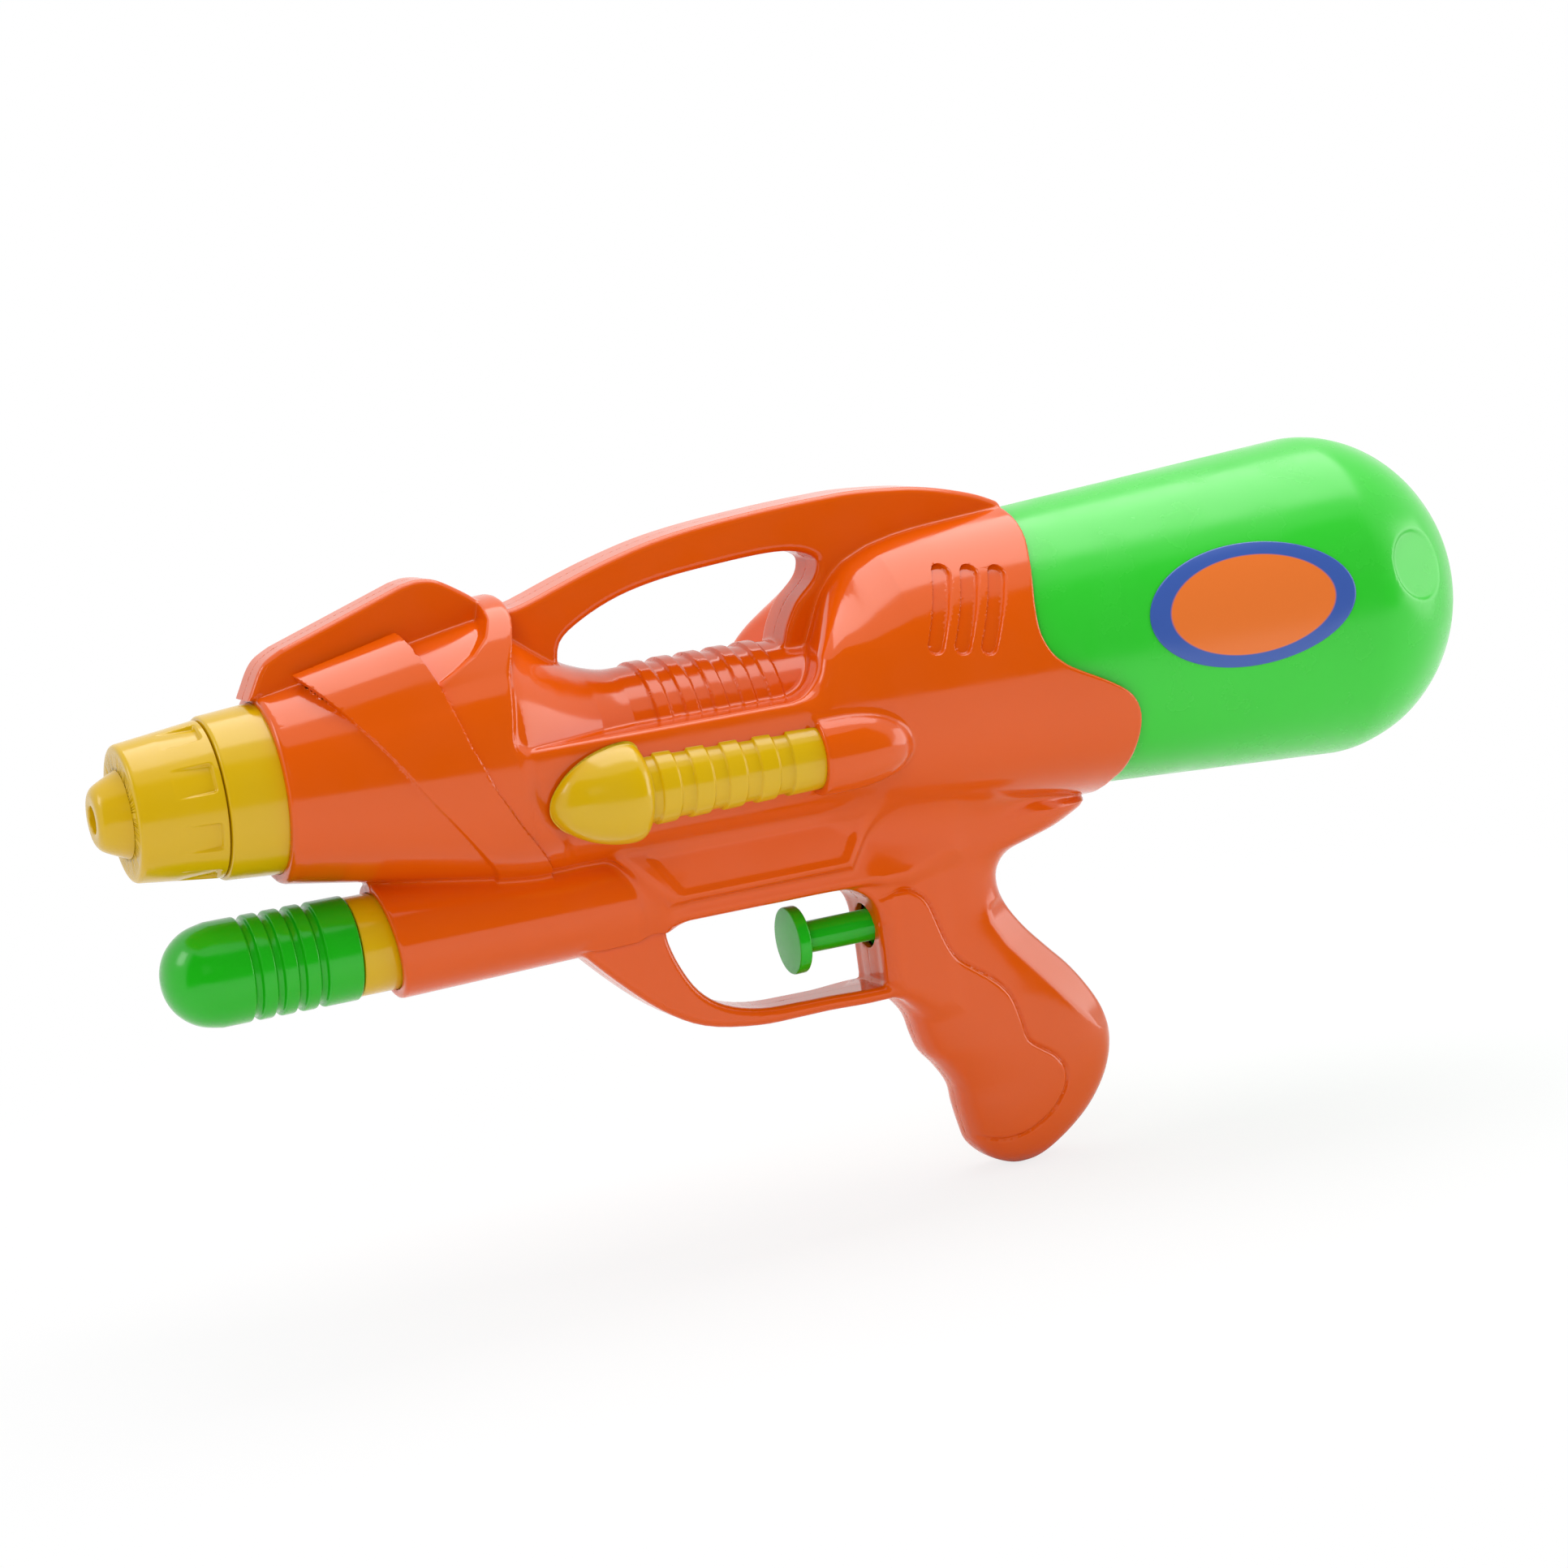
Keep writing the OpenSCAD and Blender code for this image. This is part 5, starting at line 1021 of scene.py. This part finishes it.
def housing_field(X, Y, Z, screw_heads):
    """The hollow left half: skin, minus the room inside, plus posts and wall, minus openings."""
    skin = skin_field(X, Y, Z)
    side = np.abs(Y)
    R = np.sqrt(Y * Y + Z * Z)
    backing = WALL + VENT_BACKING * (np.abs(X - TANK + 17) < 19) * (np.abs(Z - 18) < 15)
    backing = backing + STRAP_BACKING * (np.abs(X - 84) < 9) * (Z > 4)
    d = np.maximum(skin, -(skin + backing))
    screw = None
    for x, z in SCREWS:
        away = np.sqrt((X - x) ** 2 + (Z - z) ** 2)
        screw = away if screw is None else np.minimum(screw, away)
    wall = np.maximum(np.maximum(np.abs(X - SOCKET_X) - SOCKET_HALF, SOCKET_R - R), SOCKET_FOOT - Z)
    d = np.minimum(d, np.maximum(np.minimum(screw - POST_R, wall), skin + 0.6))
    d = cut(d, -to_outline("rear", X, Z), 1.0)
    d = np.maximum(d, -np.maximum(R - MOUTH_R, X - (RIM + 6)))
    pump_away = np.sqrt(Y * Y + (Z - PUMP_Z) ** 2)
    d = cut(d, -np.maximum(pump_away - PUMP_MOUTH_R, X - PUMP_MOUTH_END), 0.5)
    d = np.maximum(d, -np.maximum(pump_away - PUMP_BORE_R, X - PUMP_BORE_END))
    stem_away = np.sqrt(Y * Y + (Z - TRIGGER_Z) ** 2)
    d = cut(d, -np.maximum(stem_away - STEM_HOLE_R, np.abs(X - GRIP) - STEM_HOLE_HALF), 0.5)
    seat = np.sqrt((side - BOLT_Y) ** 2 + (Z - BOLT_Z) ** 2) - SEAT_R
    d = np.maximum(d, -np.maximum(seat, np.abs(X - SEAT_X) - SEAT_HALF))
    if screw_heads:
        d = np.maximum(d, -np.maximum(screw - HEAD_R, HEAD_FLOOR - side))
    return np.maximum(d, Y + SEAM)


within = housing_field(60.0 + 0 * across, across, 0 * across, False) < 0
print("wall of the barrel at x 60:", round(within.sum() * (across[1] - across[0]), 1), "mm")

# %% [markdown]
# Drawing the skin.
# Space is divided into small cells. Every cell that holds both inside and outside corners gets one point,
# and every crossed edge gives one four-sided face between its four cells. A point goes to the place where
# the tangent planes at its cell's crossings meet, so an edge of the form comes out straight and crisp
# instead of stepped. A Remesh modifier would need a closed mesh to start from, and there is none. Only
# cells near the skin are looked at closely, as the rest can't hold any of it.

# %% Raster and slope of a field
COARSE, NEAR_SKIN, BATCHES = 3, 4.2, 12


def slope_of(field, points, probe=0.05):
    """Distance and unit slope of a field at points, from its values a probe's length to each side."""
    x, y, z = points.T
    slope = np.stack([field(x + probe, y, z) - field(x - probe, y, z),
                      field(x, y + probe, z) - field(x, y - probe, z),
                      field(x, y, z + probe) - field(x, y, z - probe)], 1) / (2 * probe)
    steep = np.maximum(np.linalg.norm(slope, axis=1, keepdims=True), 0.2)
    return field(x, y, z) / steep[:, 0], slope / steep


def raster_values(field, low, top, step):
    """The field on a raster, read at every third place first and then at every place near the skin."""
    size = np.ceil((top - low) / (COARSE * step)).astype(int)
    x, y, z = (low[k] + step * (COARSE * np.arange(size[k]) + 1) for k in range(3))
    rough = field(x[:, None, None], y[None, :, None], z[None, None, :]).astype(np.float32)
    values = rough.repeat(COARSE, 0).repeat(COARSE, 1).repeat(COARSE, 2)
    spots = np.argwhere(np.abs(values) < NEAR_SKIN * step)
    for part in np.array_split(spots, BATCHES):
        values[tuple(part.T)] = field(*(low + step * part).T)
    return values


under_nose = np.array([[60.0, 0.0, -27.0]])
print("slope of the skin under the nose:", np.round(slope_of(skin_field, under_nose)[1][0], 2))

# %% Skin from a field
HOLD, FARTHEST = 0.1, 0.8


def skin_faces(values, low, step):
    """Cells that the skin crosses, and for each crossed edge its four cells and the crossing's place."""
    inside = values < 0
    shape = np.array(values.shape)
    count = np.zeros(shape - 1, np.int8)
    for dx, dy, dz in itertools.product((0, 1), repeat=3):
        count += inside[dx:shape[0] - 1 + dx, dy:shape[1] - 1 + dy, dz:shape[2] - 1 + dz]
    active = (count > 0) & (count < 8)
    cells = int(active.sum())
    number = np.full(active.shape, -1, np.int64)
    number[active] = np.arange(cells)
    faces, spots = [], []
    for axis in range(3):
        along, b, c = (np.eye(3, dtype=int)[(axis + k) % 3] for k in range(3))
        ahead = inside[tuple(slice(along[k], shape[k]) for k in range(3))]
        behind = inside[tuple(slice(0, shape[k] - along[k]) for k in range(3))]
        edge = np.argwhere(ahead != behind)
        start, end = values[tuple(edge.T)], values[tuple((edge + along).T)]
        spots.append(low + step * (edge + (start / (start - end))[:, None] * along))
        ring = np.stack([number[tuple((edge + o).T)] for o in (-b - c, -c, 0 * b, -b)], 1)
        ring[start >= 0] = ring[start >= 0][:, ::-1]
        faces.append(ring)
    return cells, np.concatenate(faces), np.concatenate(spots)


def draw_skin(field, low, top, step):
    """Points (mm) and faces of the zero level: each point is the best meeting place of its cell's planes."""
    cells, faces, spots = skin_faces(raster_values(field, low, top, step), low, step)
    off, normal = slope_of(field, spots)
    hits = np.bincount(faces.ravel(), minlength=cells)[:, None]
    total = [np.bincount(faces.ravel(), np.repeat(spots[:, k], 4), cells) for k in range(3)]
    mean = np.stack(total, 1) / hits
    planes, pull = np.zeros((cells, 3, 3)), np.zeros((cells, 3))
    for k in range(4):
        reach = ((spots - mean[faces[:, k]]) * normal).sum(1) - off
        np.add.at(planes, faces[:, k], normal[:, :, None] * normal[:, None, :])
        np.add.at(pull, faces[:, k], normal * reach[:, None])
    move = np.linalg.solve(planes + HOLD * np.eye(3), pull[..., None])[..., 0]
    length = np.linalg.norm(move, axis=1, keepdims=True)
    return mean + move * np.minimum(1, FARTHEST * step / np.maximum(length, 1e-9)), faces


ball, ball_faces = draw_skin(lambda x, y, z: np.sqrt(x * x + y * y + z * z) - 5,
                             np.full(3, -6.3), np.full(3, 6.3), 0.6)
print("a ball of 5 mm drawn this way has radius", np.round(np.linalg.norm(ball, axis=1).mean(), 3),
      "and", len(ball_faces), "faces")

# %% [markdown]
# Fewer faces where they aren't needed.
# So fine a skin has far more faces than flat places need. The Decimate modifier takes them away where the
# form is flat, first on the inner wall, which nobody sees, and then everywhere. Larger cells would lose the
# crisp edges instead. The shading normals are read from the field itself, so the thinned faces shade as
# smoothly as the fine ones.

# %% Thinner meshes with exact normals
AGREE = 0.8


def thinned(piece, share, group=""):
    """Thins the piece's mesh to a share of its triangles, in one vertex group alone if it is named."""
    thin = piece.modifiers.new("thin", "DECIMATE")
    thin.ratio = share
    thin.vertex_group = group
    made = bpy.data.meshes.new_from_object(piece.evaluated_get(bpy.context.evaluated_depsgraph_get()))
    piece.modifiers.clear()
    old, piece.data = piece.data, made
    bpy.data.meshes.remove(old)


def read_all(rows, name, width, kind):
    """One attribute of all vertices, corners or faces of a mesh as an array of `width` columns."""
    values = np.empty(len(rows) * width, kind)
    rows.foreach_get(name, values)
    return values.reshape(-1, width) if width > 1 else values


def exact_normals(piece, field):
    """Corner normals from the field's slope, or the face's own normal where the form has a sharp edge."""
    mesh = piece.data
    points = read_all(mesh.vertices, "co", 3, np.float32).astype(float) / MM
    smooth = slope_of(field, points)[1][read_all(mesh.loops, "vertex_index", 1, np.int32)]
    flat = np.repeat(read_all(mesh.polygons, "normal", 3, np.float32),
                     read_all(mesh.polygons, "loop_total", 1, np.int32), 0)
    agree = (smooth * flat).sum(1, keepdims=True) > AGREE
    mesh.normals_split_custom_set(np.where(agree, smooth, flat))


# %% [markdown]
# Two halves.
# The real housing is moulded as a left and a right half that meet at the middle and are screwed together
# from the right. A Mirror modifier could copy one half, but only the right one has recesses for the screw
# heads. So each half is drawn from its own field on the left side, and the right one is flipped over.

# %% Housing halves
CELL = 0.6
LOW, TOP = np.array([40.0, -46.0, -143.5]), np.array([284.0, 1.6, 54.0])
MOST_TRIANGLES, HIDDEN_THINNED, HIDDEN_DEEP = 190000, 0.85, 0.7


def housing_half(name, is_right):
    """One half: skin, thinning, exact normals. The right one is mirrored in y and has screw heads."""
    flip = -1 if is_right else 1

    def field(x, y, z):
        """The hollow half as it lies on the left, before it is flipped."""
        return housing_field(x, y, z, is_right)

    points, faces = draw_skin(field, LOW, TOP, CELL)
    hidden = np.flatnonzero(skin_field(*points.T) < -HIDDEN_DEEP * WALL)
    piece = put_mesh(name, points * [1, flip, 1], faces[:, ::flip])
    piece.data.polygons.foreach_set("use_smooth", np.ones(len(faces), bool))
    piece.vertex_groups.new(name="hidden").add(hidden.tolist(), 1.0, "REPLACE")
    thinned(piece, 1 - HIDDEN_THINNED * len(hidden) / len(points), "hidden")
    thinned(piece, min(1, MOST_TRIANGLES / sum(len(f.vertices) - 2 for f in piece.data.polygons)))
    piece.vertex_groups.clear()
    exact_normals(piece, lambda x, y, z: field(x, flip * y, z))
    return piece


dress(housing_half("left_half", False), "housing", "housing_orange", "left_shell")
dress(housing_half("right_half", True), "housing", "housing_orange", "right_shell")

# %% [markdown]
# Inner pieces.
# Hoses, seals, the valve, the pump's cylinder and the screws sit in the housing. They could be drawn
# again, but their solids already have the right shapes, so they stay as they are and get a finish by the
# slot that the record gives them.

# %% Inner pieces keep their solids
slot_of = {row["node"]: row["material_slot"] for row in frame["record"]["subparts"]}
kept = [name for name, solid in frame["nodes"].items() if not solid.hide_render]
for name in kept:
    solid = frame["nodes"][name]
    solid.data.materials.clear()
    solid.data.materials.append(finishes[slot_of[name]])
print("solids kept:", len(kept))
